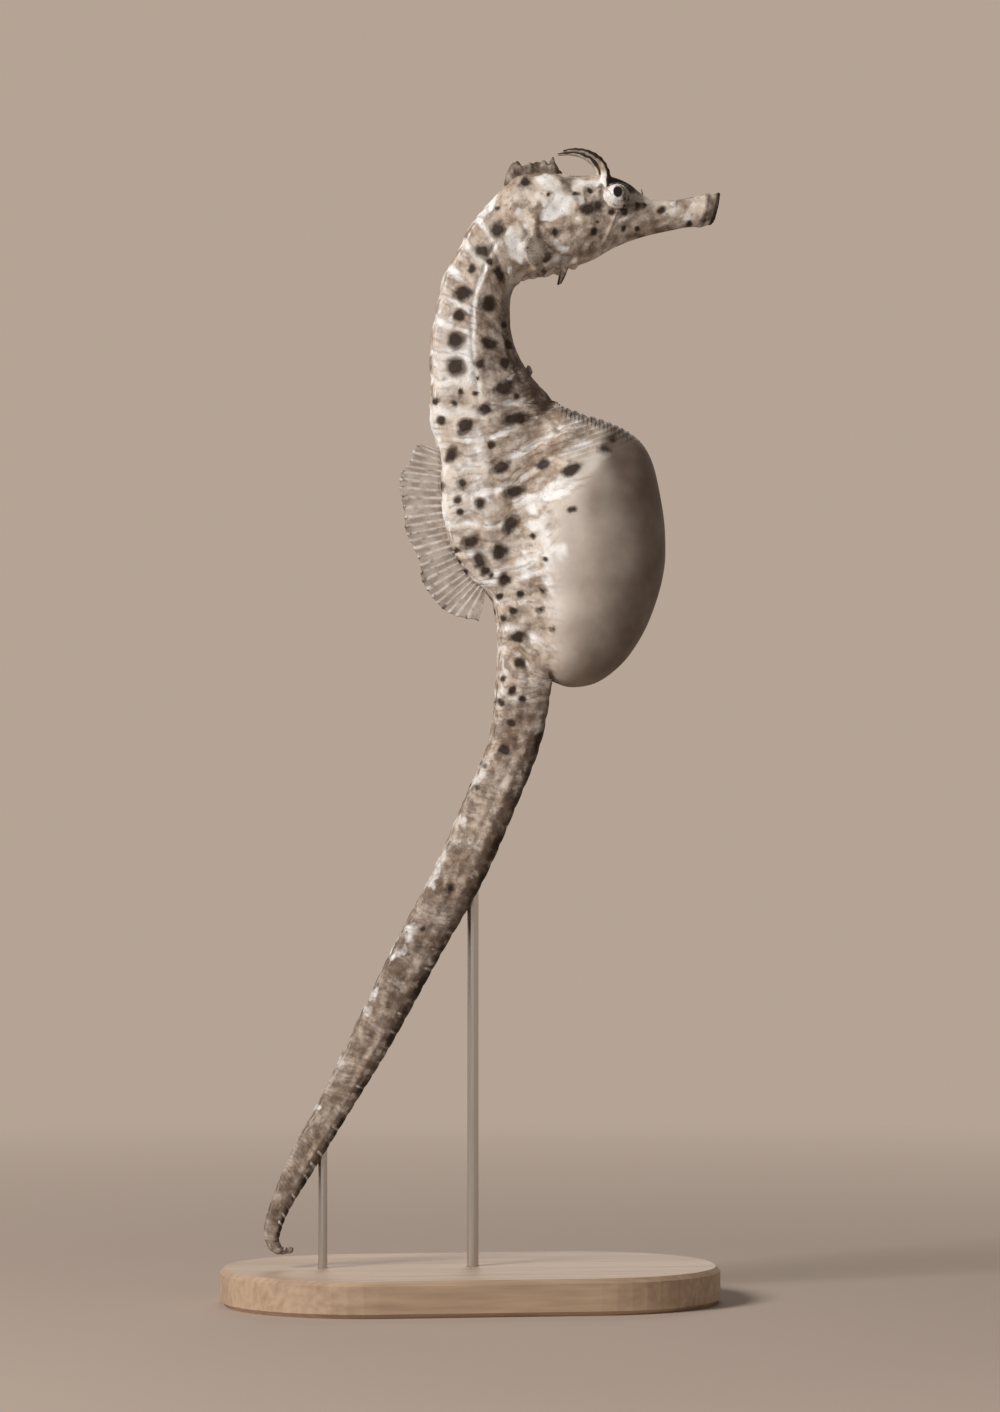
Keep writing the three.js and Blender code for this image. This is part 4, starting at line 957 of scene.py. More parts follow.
def lid_grid(centre, side, radius):
    """The lids as one closed ring of skin that fits over the eyeball like a collar, thickest at its rim."""
    fine = np.linspace(0, len(LID_PROFILE) - 1, 64)
    angle, height = (np.interp(fine, range(len(LID_PROFILE)), column)[:, None]
                     for column in zip(*LID_PROFILE))
    turn = full_turn(120)
    # The opening is a little taller than wide, and drawn in at its front and back corners.
    angle = np.radians(angle) + 0.03 * np.cos(2 * turn) * (height > -0.4)
    out, up = lid_axis(side), np.array([0.0, 0.0, 1.0])
    upright = unit(up - out * (up @ out))
    ring = np.sin(turn)[..., None] * upright + np.cos(turn)[..., None] * np.array([1.0, 0.0, 0.0])
    direction = np.cos(angle)[..., None] * out + np.sin(angle)[..., None] * ring
    grid = centre + direction * (radius + height)[..., None]
    crinkle = 0.04 * ripple(*axes(grid), 0.8, 61) * (height > 0)
    return grid + direction * crinkle[..., None]


def horn_grid(path, radii, rows=60, sides=24, beads=0.0, bead_count=9):
    """A tapering horn along a path, closed at both ends, with beads along its outer side."""
    places = run_along(path)
    share = np.linspace(0, 1, rows)
    centre = through(places, path, share * places[-1])
    along = unit(np.gradient(centre, axis=0))
    aside = unit(np.cross([0.0, 1.0, 0.0], along))
    across = np.cross(along, aside)
    radius = np.interp(share, np.linspace(0, 1, len(radii)), radii)
    tip = np.clip((1 - share) * places[-1] / radii[-1], 0, 1)
    radius = radius * np.sqrt(1 - (1 - tip) ** 2)
    turn = full_turn(sides)
    outer = 0.5 + 0.5 * np.cos(turn)
    bead = 1 + beads * outer * (0.5 + 0.5 * np.cos(2 * math.pi * bead_count * share))[:, None]
    ring = np.cos(turn)[..., None] * aside[:, None, :] + np.sin(turn)[..., None] * across[:, None, :]
    grid = centre[:, None, :] + ring * (radius[:, None] * bead)[..., None]
    grid[0], grid[-1] = centre[0], centre[-1]
    return grid, np.repeat(outer, rows, axis=0), np.repeat(share[:, None], sides, axis=1)


def fin_grid(root, edge, rays, thickness, wave):
    """A fin as a closed sheet along the mirror plane: one row for each place along its root, and columns
    that run out to its edge on one side and back on the other. Rays stand out as ribs, and the edge is
    scalloped."""
    per_ray, out_columns = 9, 22
    rows = rays * per_ray + 1
    share = np.linspace(0, 1, rows)
    root_line, edge_line = (through(np.linspace(0, 1, len(line)), line, share) for line in (root, edge))
    rib = np.abs(np.cos(math.pi * rays * share)) ** 6
    reach = edge_line - root_line
    reach *= (1 + 0.035 * (rib - 0.5) / np.maximum(np.linalg.norm(reach, axis=1) / 6, 0.4))[:, None]
    out = np.linspace(0, 1, out_columns)
    flat_fin = root_line[:, None, :] + reach[:, None, :] * out[None, :, None]
    thick = thickness * (0.30 + 0.70 * rib[:, None]) * (1 - 0.75 * out[None, :] ** 1.5)
    thick *= np.minimum(np.minimum(share, 1 - share) * rows / 2, 1)[:, None]
    bend = wave * np.sin(2 * math.pi * rays / 4.5 * share)[:, None] * out[None, :] ** 2
    thick[:, -1] = 0
    near, far = (np.stack([flat_fin[..., 0], bend + sign * thick / 2, flat_fin[..., 1]], axis=2)
                 for sign in (1, -1))
    grid = np.concatenate([near, far[:, -2::-1]], axis=1)
    both_ways = np.concatenate([out, out[-2::-1]])[None, :]
    rib_field = rib[:, None] * np.ones_like(both_ways)
    return grid, {"rib": rib_field, "out": both_ways + 0 * rib_field, "pigment": 0 * rib_field}


def coronet_grid():
    """A low wedge of bone on the crown, with a ragged crest along the middle and knobs on its sides."""
    rows, columns = 100, 48
    top = np.array(CORONET_TOP)
    x = np.linspace(top[0, 0], top[-1, 0], rows)[:, None]
    crest = np.interp(x, top[:, 0], top[:, 1])
    low, high = box_mm("coronet")
    share = np.linspace(0, 1, rows)[:, None]
    width = (high[1] - low[1]) / 2 * np.sqrt(np.clip(np.minimum(share, 1 - share) * 5, 0, 1))
    turn = full_turn(columns)
    level = 0.5 + 0.5 * np.sin(turn)
    y = width * np.cos(turn) * (1 - 0.45 * level ** 2)
    z = CORONET_FOOT + (crest - CORONET_FOOT) * level
    grid = np.stack([x + 0 * y, y, z], axis=2)
    grid[..., 1] += 0.14 * np.cos(turn) * ripple(*axes(grid), 1.6, 31)
    grid[..., 2] += 0.3 * ripple(*axes(grid), 0.8, 32) * level
    grid[0], grid[-1] = grid[0].mean(axis=0), grid[-1].mean(axis=0)
    return grid, level + 0 * grid[..., 0]


# ---------- mesh helpers ----------
def deselect_all():
    """Leaves nothing selected and nothing in edit mode."""
    if bpy.context.mode != "OBJECT":
        bpy.ops.object.mode_set(mode="OBJECT")
    bpy.ops.object.select_all(action="DESELECT")


def sheet(name, grid, fields):
    """A mesh grid laid over a grid of points in millimetres, with named fields to paint by. Where its edges
    meet it is joined, so that a rolled-up sheet becomes a closed skin."""
    deselect_all()
    rows, columns = grid.shape[:2]
    bpy.ops.mesh.primitive_grid_add(x_subdivisions=columns - 1, y_subdivisions=rows - 1, size=1)
    piece = bpy.context.object
    piece.name = name
    piece.data.vertices.foreach_set("co", (grid * MM).ravel())
    for field_name, values in fields.items():
        layer = piece.data.attributes.new(field_name, "FLOAT", "POINT")
        layer.data.foreach_set("value", values.astype(np.float32).ravel())
    joint = piece.modifiers.new("joint", "WELD")
    joint.merge_threshold = 1e-6
    bpy.ops.object.modifier_apply(modifier=joint.name)
    return piece


def rolled(grid):
    """Repeats the first column after the last, so that the sheet closes on itself."""
    return np.concatenate([grid, grid[:, :1]], axis=1)


def outward(piece):
    """Turns a closed mesh the right way out, by the sign of its volume."""
    mesh = piece.data
    mesh.calc_loop_triangles()
    corners = np.empty(len(mesh.loop_triangles) * 3, dtype=np.int32)
    mesh.loop_triangles.foreach_get("vertices", corners)
    place = np.empty(len(mesh.vertices) * 3)
    mesh.vertices.foreach_get("co", place)
    first, second, third = place.reshape(-1, 3)[corners.reshape(-1, 3).T]
    if np.einsum("ij,ij->", first, np.cross(second, third)) < 0:
        mesh.flip_normals()


def make_piece(name, grid, fields, material, replaced=()):
    """A closed, smooth piece with its fields and material, its body, and the nodes that it stands for."""
    piece = sheet(name, rolled(grid), {key: rolled(values) for key, values in fields.items()})
    outward(piece)
    deselect_all()
    piece.select_set(True)
    bpy.context.view_layer.objects.active = piece
    bpy.ops.object.shade_smooth()
    piece.data.materials.append(material)
    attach(piece, "root")
    if replaced:
        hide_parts(*replaced)


# ---------- materials ----------
SKIN_NAME = "Seahorse skin, matt hide"

# The nodes that the materials are made of, by a short name: the node, its settings, the output that is used
# and, where they aren't the first ones, the inputs that values fill in turn.
NODES = {
    "plus": ("Math", {"operation": "ADD"}, 0),
    "minus": ("Math", {"operation": "SUBTRACT"}, 0),
    "times": ("Math", {"operation": "MULTIPLY"}, 0),
    "shared": ("Math", {"operation": "DIVIDE"}, 0),
    "most": ("Math", {"operation": "MAXIMUM"}, 0),
    "sine": ("Math", {"operation": "SINE"}, 0),
    "length": ("VectorMath", {"operation": "LENGTH"}, "Value"),
    "distance along": ("VectorMath", {"operation": "DOT_PRODUCT"}, "Value"),
    "ramp": ("ValToRGB", {}, "Color"),
    "blend": ("Mix", {"data_type": "RGBA"}, 2, 0, 6, 7),
    "blend of shaders": ("MixShader", {}, 0),
    "field": ("Attribute", {}, "Fac"),
    "place": ("TexCoord", {}, "Object"),
    "stretch": ("Mapping", {}, 0),
    "noise": ("TexNoise", {}, "Fac"),
    "bump": ("Bump", {}, 0),
    "surface": ("BsdfPrincipled", {}, 0),
    "matt surface": ("BsdfDiffuse", {}, 0),
    "clear surface": ("BsdfTransparent", {}, 0),
    "glow": ("Background", {}, 0),
    "ray": ("LightPath", {}, "Is Camera Ray"),
    "end": ("OutputMaterial", {}, None),
    "world's end": ("OutputWorld", {}, None),
}


def linear(hex_colour):
    """An sRGB hex value as linear red, green and blue, with alpha 1."""
    parts = [int(hex_colour[i:i + 2], 16) / 255 for i in (1, 3, 5)]
    return tuple(p / 12.92 if p <= 0.04045 else ((p + 0.055) / 1.055) ** 2.4 for p in parts) + (1.0,)


def lumps(size_mm):
    """The scale of a noise whose lumps are about this many millimetres across."""
    return 0.5 / (size_mm * MM)


def node(tree, name, *values, stops=(), **named):
    """Adds a node from NODES. Values fill its inputs in turn, named ones the input or setting of that name,
    and stops are the places and greys of a ramp. A value is a number, a colour or another node's output."""
    kind, settings, output, *places = NODES[name]
    made = tree.nodes.new("ShaderNode" + kind)
    filled = list(zip(places or range(len(values)), values))
    for key, value in {**settings, **named}.items():
        if key.replace("_", " ") in made.inputs:
            filled.append((key.replace("_", " "), value))
        else:
            setattr(made, key, value)
    for key, value in filled:
        if isinstance(value, bpy.types.NodeSocket):
            tree.links.new(value, made.inputs[key])
        else:
            made.inputs[key].default_value = value
    for index, (position, grey) in enumerate(stops):
        elements = made.color_ramp.elements
        element = elements[index] if index < len(elements) else elements.new(position)
        element.position = position
        element.color = (grey, grey, grey, 1)
    return made if output is None else made.outputs[output]


def new_material(name):
    """An empty material, and the function that adds a node to it."""
    material = bpy.data.materials.new(name)
    material.use_nodes = True
    material.node_tree.nodes.clear()
    return material, functools.partial(node, material.node_tree)


def skin_material(colours):
    """Skin of a seahorse over bony plates: no scales, a thin matt hide, cream with dark brown spots and fine
    freckles. Its colour also holds painted shade on the pouch's far side, the fore side of the neck and the
    tail's underside, in the folds, pleats and gill slit and inside the mouth, and painted light beside the
    pouch and on the gill cover's rim. Under light it is soft and dull, with only the swollen pouch a little
    satin."""
    material, add = new_material(SKIN_NAME)
    names = ("spots", "pale", "dusk", "pouch", "ring", "body", "tail", "mottle", "crest", "mouth")
    spots, pale, dusk, pouch, ring, body, tail, mottle, crest, mouth = (
        add("field", attribute_name=name) for name in names)
    place = add("place")
    coarse, medium, fine, patchy, fading = (
        add("noise", Vector=place, Scale=lumps(size), Detail=detail, Roughness=rough)
        for size, detail, rough in
        ((3.0, 2.0, 0.5), (0.9, 3.0, 0.5), (0.25, 2.0, 0.5), (1.3, 3.0, 0.6), (2.2, 2.0, 0.5)))
    cream, tan, brown, spot, chalk = (
        linear(tone) for tone in (colours.cream, colours.tan, colours.brown, colours.spot, colours.chalk))
    off_pouch = add("minus", 1.0, pouch)
    coarse_drift, medium_drift = (add("minus", noise, 0.5) for noise in (coarse, medium))
    # Cream clouded with tan: clouds 3 mm across, broken up by mottling under a millimetre.
    cloud = add("plus", add("times", coarse, 0.6), add("times", medium, 0.5))
    open_skin = add("minus", 1.0, add("times", pouch, 0.85))
    clouded = add("times", add("ramp", cloud, stops=[(0.44, 0.0), (0.66, 1.0)]), open_skin)
    colour = add("blend", clouded, cream, tan)
    # Broad dark pigment, with painted shade on the pouch's far side, the fore side of the neck and the tail's
    # underside, ragged at its edges but smooth on the pouch.
    rough_edge = add("times", medium_drift, add("ramp", dusk, stops=[(0.02, 0.0), (0.2, 1.0)]))
    ragged = add("plus", dusk, add("times", rough_edge, 1.1))
    faintly_clouded = add("plus", dusk, add("times", coarse_drift, 0.3))
    smooth_dusk = add("blend", pouch, ragged, faintly_clouded)
    colour = add("blend", add("times", smooth_dusk, 0.92, use_clamp=True), colour, brown)
    # Mottling: brown and pale flecks about a millimetre across, thick on the head and the tail.
    fleck = add("times", add("ramp", patchy, stops=[(0.50, 0.0), (0.60, 1.0)]), mottle)
    colour = add("blend", add("times", fleck, 0.62), colour, brown)
    glint = add("times", add("ramp", patchy, stops=[(0.36, 1.0), (0.45, 0.0)]), mottle)
    colour = add("blend", add("times", glint, 0.45), colour, cream)
    # Chalky ridges and patches, flaking at their edges, with painted light beside the pouch and a painted
    # highlight on the gill cover's rim.
    chips = add("times", add("ramp", pale, stops=[(0.03, 0.0), (0.3, 1.0)]), off_pouch)
    worn = add("plus", pale, add("times", add("times", medium_drift, chips), 2.0))
    chalky = add("ramp", worn, stops=[(0.2, 0.0), (0.95, 1.0)])
    colour = add("blend", add("times", chalky, 0.95), colour, chalk)
    # Folds between the rings: three fine lines to a ring that wander and fade in and out, sunk in the relief
    # and darkened in their creases as painted shade.
    wandering = add("plus", ring, add("times", coarse, 0.9))
    wave = add("sine", add("times", wandering, 2 * math.pi * 3))
    folds = add("times", add("ramp", wave, stops=[(0.1, 0.0), (0.95, 1.0)]), body)
    folds = add("times", folds, add("ramp", fading, stops=[(0.42, 0.0), (0.58, 1.0)]))
    fold_depth = add("times", folds, add("plus", add("times", tail, -0.08), 0.36))
    colour = add("blend", fold_depth, colour, brown)
    # Pleats a millimetre apart cross the top of the pouch, sunk in the relief and darkened in their valleys
    # as painted shade.
    turns = add("times", add("distance along", place, (0.97, 0.0, -0.25)), 2 * math.pi / (0.95 * MM))
    turns = add("plus", turns, add("times", coarse, 7.0))
    pleat = add("times", add("ramp", add("sine", turns), stops=[(0.0, 0.0), (0.9, 1.0)]), crest)
    colour = add("blend", add("times", pleat, 0.6), colour, spot)
    # Freckles a quarter of a millimetre across.
    freckle = add("times", add("ramp", fine, stops=[(0.62, 0.0), (0.72, 1.0)]), open_skin)
    colour = add("blend", add("times", freckle, 0.35), colour, brown)
    # Spots with ragged rims, darkest in their middle, and the inside of the mouth painted near black as shade
    # in its recess.
    ragged_rim = add("times", add("minus", medium, 0.2), 0.8)
    inside = add("ramp", add("plus", spots, ragged_rim), stops=[(0.0, 0.0), (0.6, 1.0)])
    colour = add("blend", add("times", inside, 0.95), colour, spot)
    colour = add("blend", mouth, colour, linear(colours.pupil))
    # Relief: the hide's grit is about a tenth of a millimetre across, drawn coarser so that it shows.
    height = add("plus", add("times", fine, 0.35), add("times", medium, 0.65))
    height = add("minus", height, add("times", fold_depth, 0.8))
    height = add("minus", height, add("times", pleat, 0.6))
    rough_skin = add("times", height, add("minus", 1.0, add("times", pouch, 0.8)))
    bump = add("bump", Strength=0.8, Distance=0.22 * MM, Height=rough_skin)
    roughness = add("minus", 0.66, add("times", pouch, 0.12))
    skin = add("surface", Base_Color=colour, Roughness=roughness, Normal=bump, Specular_IOR_Level=0.12)
    add("end", Surface=skin)
    return material


def eye_material(colours):
    """Eye of a fish: a wet, clear cornea over a silvery iris with fine dark streaks and specks, and an oval
    black pupil, with painted shade on the iris under the brow and a painted shadow along the lids. It gives
    a sharp highlight."""
    material, add = new_material("Seahorse eye, wet cornea over the iris")
    polar, rim, shaded, streak, dots = (
        add("field", attribute_name=name) for name in ("polar", "rim", "shaded", "streak", "dots"))
    reach = add("shared", polar, 4.0)
    silver, tan, brown, black = (linear(c) for c in (colours.iris, colours.tan, colours.brown, colours.pupil))
    # Painted shade: the iris turns tan, then brown, on its right and upper side, under the brow.
    colour = add("blend", shaded, silver, tan)
    colour = add("blend", add("times", shaded, 0.42), colour, brown)
    # Streaks run out from the pupil; specks 0.4 mm across gather at the rim and on the shaded side.
    lines = add("times", add("ramp", streak, stops=[(0.50, 0.0), (0.95, 1.0)]), 0.4)
    colour = add("blend", lines, colour, brown)
    specks = add("noise", Vector=add("place"), Scale=lumps(0.4), Detail=4.0, Roughness=0.65)
    crowd = add("plus", add("plus", specks, add("times", shaded, 0.10)), add("times", rim, 0.06))
    speck = add("ramp", crowd, stops=[(0.56, 0.0), (0.66, 1.0)])
    colour = add("blend", add("times", speck, 0.85), colour, brown)
    halo = add("ramp", reach, stops=[(0.315, 1.0), (0.37, 0.0)])
    colour = add("blend", add("times", halo, 0.6), colour, brown)
    # A painted shadow of the lids, dark at the iris's edge next to them.
    lid_shadow = add("ramp", rim, stops=[(0.55, 0.0), (1.0, 1.0)])
    colour = add("blend", add("times", lid_shadow, 0.7), colour, brown)
    colour = add("blend", add("times", dots, 0.85), colour, black)
    colour = add("blend", add("ramp", reach, stops=[(0.29, 1.0), (0.31, 0.0)]), colour, black)
    cornea = add("surface", Base_Color=colour, Roughness=0.25, Specular_IOR_Level=0.1, Coat_Weight=0.7,
                 Coat_Roughness=0.07)
    add("end", Surface=cornea)
    return material


def fin_material(colours):
    """Fin membrane: thin clear skin stretched over soft rays, faintly flecked with brown. Light passes
    through it, so it takes much of the tone behind it, and only the rays and the flecks stand out."""
    material, add = new_material("Seahorse fin, thin membrane on soft rays")
    rib, out, pigment = (add("field", attribute_name=name) for name in ("rib", "out", "pigment"))
    membrane, brown, chalk = (linear(c) for c in (colours.fin, colours.brown, colours.chalk))
    place = add("place")
    bright, dashed, flecked = (add("noise", Vector=place, Scale=lumps(size), Detail=detail, Roughness=0.5)
                               for size, detail in ((1.2, 3.0), (1.6, 3.0), (0.8, 2.0)))
    patchy = add("ramp", bright, stops=[(0.40, 0.0), (0.60, 1.0)])
    colour = add("blend", add("times", add("times", rib, patchy), 0.7), membrane, chalk)
    # Dark dashes between the rays, and flecks on them that crowd towards the root and the edge.
    dashes = add("ramp", dashed, stops=[(0.40, 1.0), (0.58, 0.15)])
    between = add("times", add("ramp", rib, stops=[(0.05, 1.0), (0.5, 0.0)]), dashes)
    colour = add("blend", add("times", between, 0.65), colour, brown)
    fleck = add("ramp", flecked, stops=[(0.51, 0.0), (0.60, 1.0)])
    edge = add("ramp", out, stops=[(0.0, 0.7), (0.2, 0.45), (0.78, 0.45), (0.95, 1.0)])
    marks = add("times", add("times", fleck, edge), add("ramp", rib, stops=[(0.0, 0.25), (0.5, 1.0)]))
    colour = add("blend", add("times", marks, 0.9), colour, brown)
    colour = add("blend", add("times", pigment, 0.9), colour, brown)
    # The rays, the dashes and the flecks hide more of what is behind them than the membrane does.
    cover = add("plus", add("times", rib, 0.3), add("times", marks, 0.5))
    cover = add("plus", cover, add("times", between, 0.12))
    cover = add("plus", cover, add("times", pigment, 0.5))
    alpha = add("plus", cover, 0.36, use_clamp=True)
    add("end", Surface=add("surface", Base_Color=colour, Roughness=0.4, Alpha=alpha))
    return material


def oak_material(colours):
    """Pale oak, planed and oiled: straight grain with fine darker pores, a soft satin surface."""
    material, add = new_material("Pale oak, planed and oiled")
    stretched = add("stretch", add("place"), Scale=(0.05, 1.0, 0.6))
    pores = add("noise", Vector=stretched, Scale=lumps(0.5), Detail=4.0)
    bands = add("noise", Vector=stretched, Scale=lumps(6), Detail=2.0)
    mixed = add("plus", add("times", pores, 0.5), add("times", bands, 0.5))
    figure = add("ramp", mixed, stops=[(0.42, 0.0), (0.62, 1.0)])
    colour = add("blend", add("times", figure, 0.7), linear(colours.oak), linear(colours.oak_grain))
    bump = add("bump", Strength=0.4, Distance=0.08 * MM, Height=pores)
    add("end", Surface=add("surface", Base_Color=colour, Roughness=0.5, Normal=bump))
    return material


def steel_material(colours):
    """Stainless steel rod, drawn and brushed along its length: bright metal with fine upright scratches."""
    material, add = new_material("Stainless steel, drawn rod")
    drawn = add("stretch", add("place"), Scale=(1.0, 1.0, 0.02))
    scratches = add("noise", Vector=drawn, Scale=lumps(0.15), Detail=2.0)
    shine = add("plus", add("times", scratches, 0.2), 0.22)
    add("end", Surface=add("surface", Base_Color=linear(colours.steel), Roughness=shine, Metallic=1.0))
    return material


# ---------- properties ----------
class SeahorseSizes(bpy.types.PropertyGroup):
    """Sizes that a user would change."""
    pouch_half_width: bpy.props.FloatProperty(
        name="Pouch half width", description="Half the width of the swollen brood pouch", default=13.4 * MM,
        unit="LENGTH")
    joint_height: bpy.props.FloatProperty(
        name="Ring joint height", description="How far the joints between the bony rings stand out",
        default=0.26 * MM, unit="LENGTH")
    ridge_height: bpy.props.FloatProperty(
        name="Ridge height", description="How far the ridges along the body stand out", default=0.42 * MM,
        unit="LENGTH")
    pleat_height: bpy.props.FloatProperty(
        name="Pleat height", description="Depth of the fine folds at the top of the pouch", default=0.2 * MM,
        unit="LENGTH")
    eye_radius: bpy.props.FloatProperty(
        name="Eye radius", description="Radius of the eyeball",
        default=(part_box("eye_right")[1][0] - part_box("eye_right")[0][0]) / 2, unit="LENGTH")
    fin_thickness: bpy.props.FloatProperty(
        name="Fin thickness", description="Thickness of a fin at the ribs of its root", default=0.5 * MM,
        unit="LENGTH")
    camera_distance: bpy.props.FloatProperty(
        name="Camera distance", description="From the camera to the animal", default=1.3, unit="LENGTH")


class SeahorseColours(bpy.types.PropertyGroup):
    """Colours as sRGB hex values."""
    cream: bpy.props.StringProperty(
        name="Cream", description="Ground colour of the skin", default="#DCCDBE")
    tan: bpy.props.StringProperty(name="Tan", description="Clouding of the skin", default="#B39B86")
    # Chalk also paints the light beside the pouch and the highlight on the gill cover's rim.
    chalk: bpy.props.StringProperty(name="Chalk", description="Ridges and pale patches", default="#F4EFEA")
    # Brown also paints shade: on the pouch's far side, the fore side of the neck, the tail's underside and in
    # the folds.
    brown: bpy.props.StringProperty(name="Brown", description="Broad dark pigment", default="#5C4B40")
    # Spot also paints the shade in the pleats and on the tail's keel.
    spot: bpy.props.StringProperty(name="Spot", description="Spots", default="#31261F")
    # Pupil also paints the shade inside the mouth.
    pupil: bpy.props.StringProperty(
        name="Pupil", description="Pupil and the inside of the mouth", default="#0E0B0A")
    iris: bpy.props.StringProperty(name="Iris", description="Pale iris", default="#E9E1DA")
    fin: bpy.props.StringProperty(name="Fin", description="Membrane of the fins", default="#D0C1B4")
    backdrop: bpy.props.StringProperty(
        name="Backdrop", description="Tone behind the model", default="#B5A495")
    oak: bpy.props.StringProperty(name="Oak", description="Stand's base", default="#B59A80")
    oak_grain: bpy.props.StringProperty(
        name="Oak grain", description="Dark lines of the base", default="#8C715A")
    steel: bpy.props.StringProperty(name="Steel", description="Stand's rods", default="#C9C6C3")


def sizes():
    """The sizes as the user has set them."""
    return bpy.context.scene.seahorse_sizes


def colours():
    """The colours as the user has set them."""
    return bpy.context.scene.seahorse_colours


# ---------- operators ----------
SIDES = (("right", RIGHT), ("left", LEFT))


class SEAHORSE_OT_skin(bpy.types.Operator):
    """Makes the one skin of the head, neck, trunk, pouch and tail"""
    bl_idname = "seahorse.skin"
    bl_label = "Skin"

    def execute(self, context):
        size = sizes()
        surface = Surface(size.pouch_half_width / MM)
        surface.raise_by(ring_relief(surface, size.joint_height / MM, size.ridge_height / MM))
        surface.raise_by(pleat_relief(surface, size.pleat_height / MM))
        surface.raise_by(head_relief(surface))
        sink_eyes(surface)
        parts = ("head", "gill", "snout", "neck", "trunk", "pouch", "tail")
        flesh = [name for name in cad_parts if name.startswith(parts)]
        make_piece("skin", surface.points, markings(surface), skin_material(colours()), flesh)
        return {"FINISHED"}


class SEAHORSE_OT_eyes(bpy.types.Operator):
    """Makes both eyeballs and their lids"""
    bl_idname = "seahorse.eyes"
    bl_label = "Eyes"

    def execute(self, context):
        cornea = eye_material(colours())
        radius = sizes().eye_radius / MM
        for name, side in SIDES:
            middle = middle_mm(f"eye_{name}")
            grid, fields = eye_grid(middle, side, radius)
            make_piece(f"eyeball_{name}", grid, fields, cornea, [f"eye_{name}"])
            lid = lid_grid(middle, side, radius)
            x, y, z = axes(lid)
            sx, sz = strayed(x, y, z, side == LEFT)
            dark = brow_shade(sx, sz, 2.25)
            fore = step(32.6, 34.6, x)
            fields = {"dusk": np.maximum(dark, 0.3 * fore), "pale": 0.5 * (1 - dark) * (1 - fore),
                      "mottle": 0.9 + 0 * x,
                      "spots": np.maximum(blot(sx, sz, LID_SPOTS), BROW_DEPTH * dark - 1)}
            make_piece(f"eyelid_{name}", lid, fields, bpy.data.materials[SKIN_NAME])
        return {"FINISHED"}


class SEAHORSE_OT_spines(bpy.types.Operator):
    """Makes the long spines over the eyes, the throat spines and the nose filament"""
    bl_idname = "seahorse.spines"
    bl_label = "Spines"

    def execute(self, context):
        skin = bpy.data.materials[SKIN_NAME]
        for name, side in SIDES:
            mirror = np.array([1, side, 1])
            grid, outer, share = horn_grid(EYE_SPINE * mirror, EYE_SPINE_RADII, beads=0.2, bead_count=12)
            outside = step(0.38, 0.52, outer + 0.14 * ripple(*axes(grid), 1.2, 62))
            fields = {"dusk": np.maximum(0.97 * outside, 0.4 * step(0.3, 0.5, share)),
                      "pale": (1 - outside) * (1 - step(0.22, 0.42, share)),
                      "mottle": 0.5 + 0 * share, "spots": BROW_DEPTH * outside - 1}
            make_piece(f"eye_horn_{name}", grid, fields, skin, [f"eye_spine_{name}"])
            grid, _, share = horn_grid(THROAT_SPINE * mirror, THROAT_SPINE_RADII, rows=30, sides=16)
            make_piece(f"throat_horn_{name}", grid, {"dusk": 0.9 * step(0.2, 0.5, share)}, skin)
        grid, _, share = horn_grid(NOSE_FILAMENT, NOSE_FILAMENT_RADII, rows=24, sides=12)
        make_piece("nose_filament", grid, {"dusk": 0.8 + 0 * share}, skin)
        return {"FINISHED"}


class SEAHORSE_OT_coronet(bpy.types.Operator):
    """Makes the low bony crown"""
    bl_idname = "seahorse.coronet"
    bl_label = "Coronet"

    def execute(self, context):
        grid, level = coronet_grid()
        dark = np.clip(0.8 + 0.3 * level + 0.25 * ripple(*axes(grid), 2.6, 33), 0, 1)
        fields = {"dusk": 0.84 * dark, "mottle": 0.35 + 0 * dark}
        make_piece("coronet_crest", grid, fields, bpy.data.materials[SKIN_NAME], ["coronet"])
        return {"FINISHED"}


class SEAHORSE_OT_fins(bpy.types.Operator):
    """Makes the dorsal, pectoral and anal fins"""
    bl_idname = "seahorse.fins"
    bl_label = "Fins"

    def execute(self, context):
        thickness = sizes().fin_thickness / MM
        membrane = fin_material(colours())
        grid, fields = fin_grid(DORSAL_ROOT, DORSAL_EDGE, DORSAL_RAYS, thickness, DORSAL_WAVE)
        make_piece("dorsal_web", grid, fields, membrane, ["dorsal_fin"])
        turn = math.atan(PECTORAL_SPLAY)
        for name, side in SIDES:
            grid, fields = fin_grid(PECTORAL_ROOT, PECTORAL_EDGE, PECTORAL_RAYS, thickness, PECTORAL_WAVE)
            back, aside, up = axes(grid)
            out = aside - back * math.sin(turn) + PECTORAL_LEAN * up
            x, y, z = PECTORAL_PLACE
            grid = np.stack([x + back * math.cos(turn), side * (y + out), z + up], axis=2)
            make_piece(f"pectoral_web_{name}", grid, fields, membrane, [f"pectoral_fin_{name}"])
        grid, fields = fin_grid(ANAL_ROOT, ANAL_EDGE, ANAL_RAYS, thickness, ANAL_WAVE)
        fields["pigment"] += 1
        make_piece("anal_web", grid, fields, membrane, ["anal_fin"])
        return {"FINISHED"}


class SEAHORSE_OT_stand(bpy.types.Operator):
    """Gives the display stand its oak and steel"""
    bl_idname = "seahorse.stand"
    bl_label = "Display stand"

    def execute(self, context):
        oak, steel = oak_material(colours()), steel_material(colours())
        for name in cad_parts:
            if name.startswith("stand_"):
                bpy.data.objects[name].material_slots[0].material = oak if name == "stand_base" else steel
        return {"FINISHED"}


class SEAHORSE_OT_stage(bpy.types.Operator):
    """Makes the floor, the lights and the camera"""
    bl_idname = "seahorse.stage"
    bl_label = "Stage"

    def execute(self, context):
        make_floor()
        make_world()
        make_lights()
        make_camera(sizes().camera_distance)
        return {"FINISHED"}


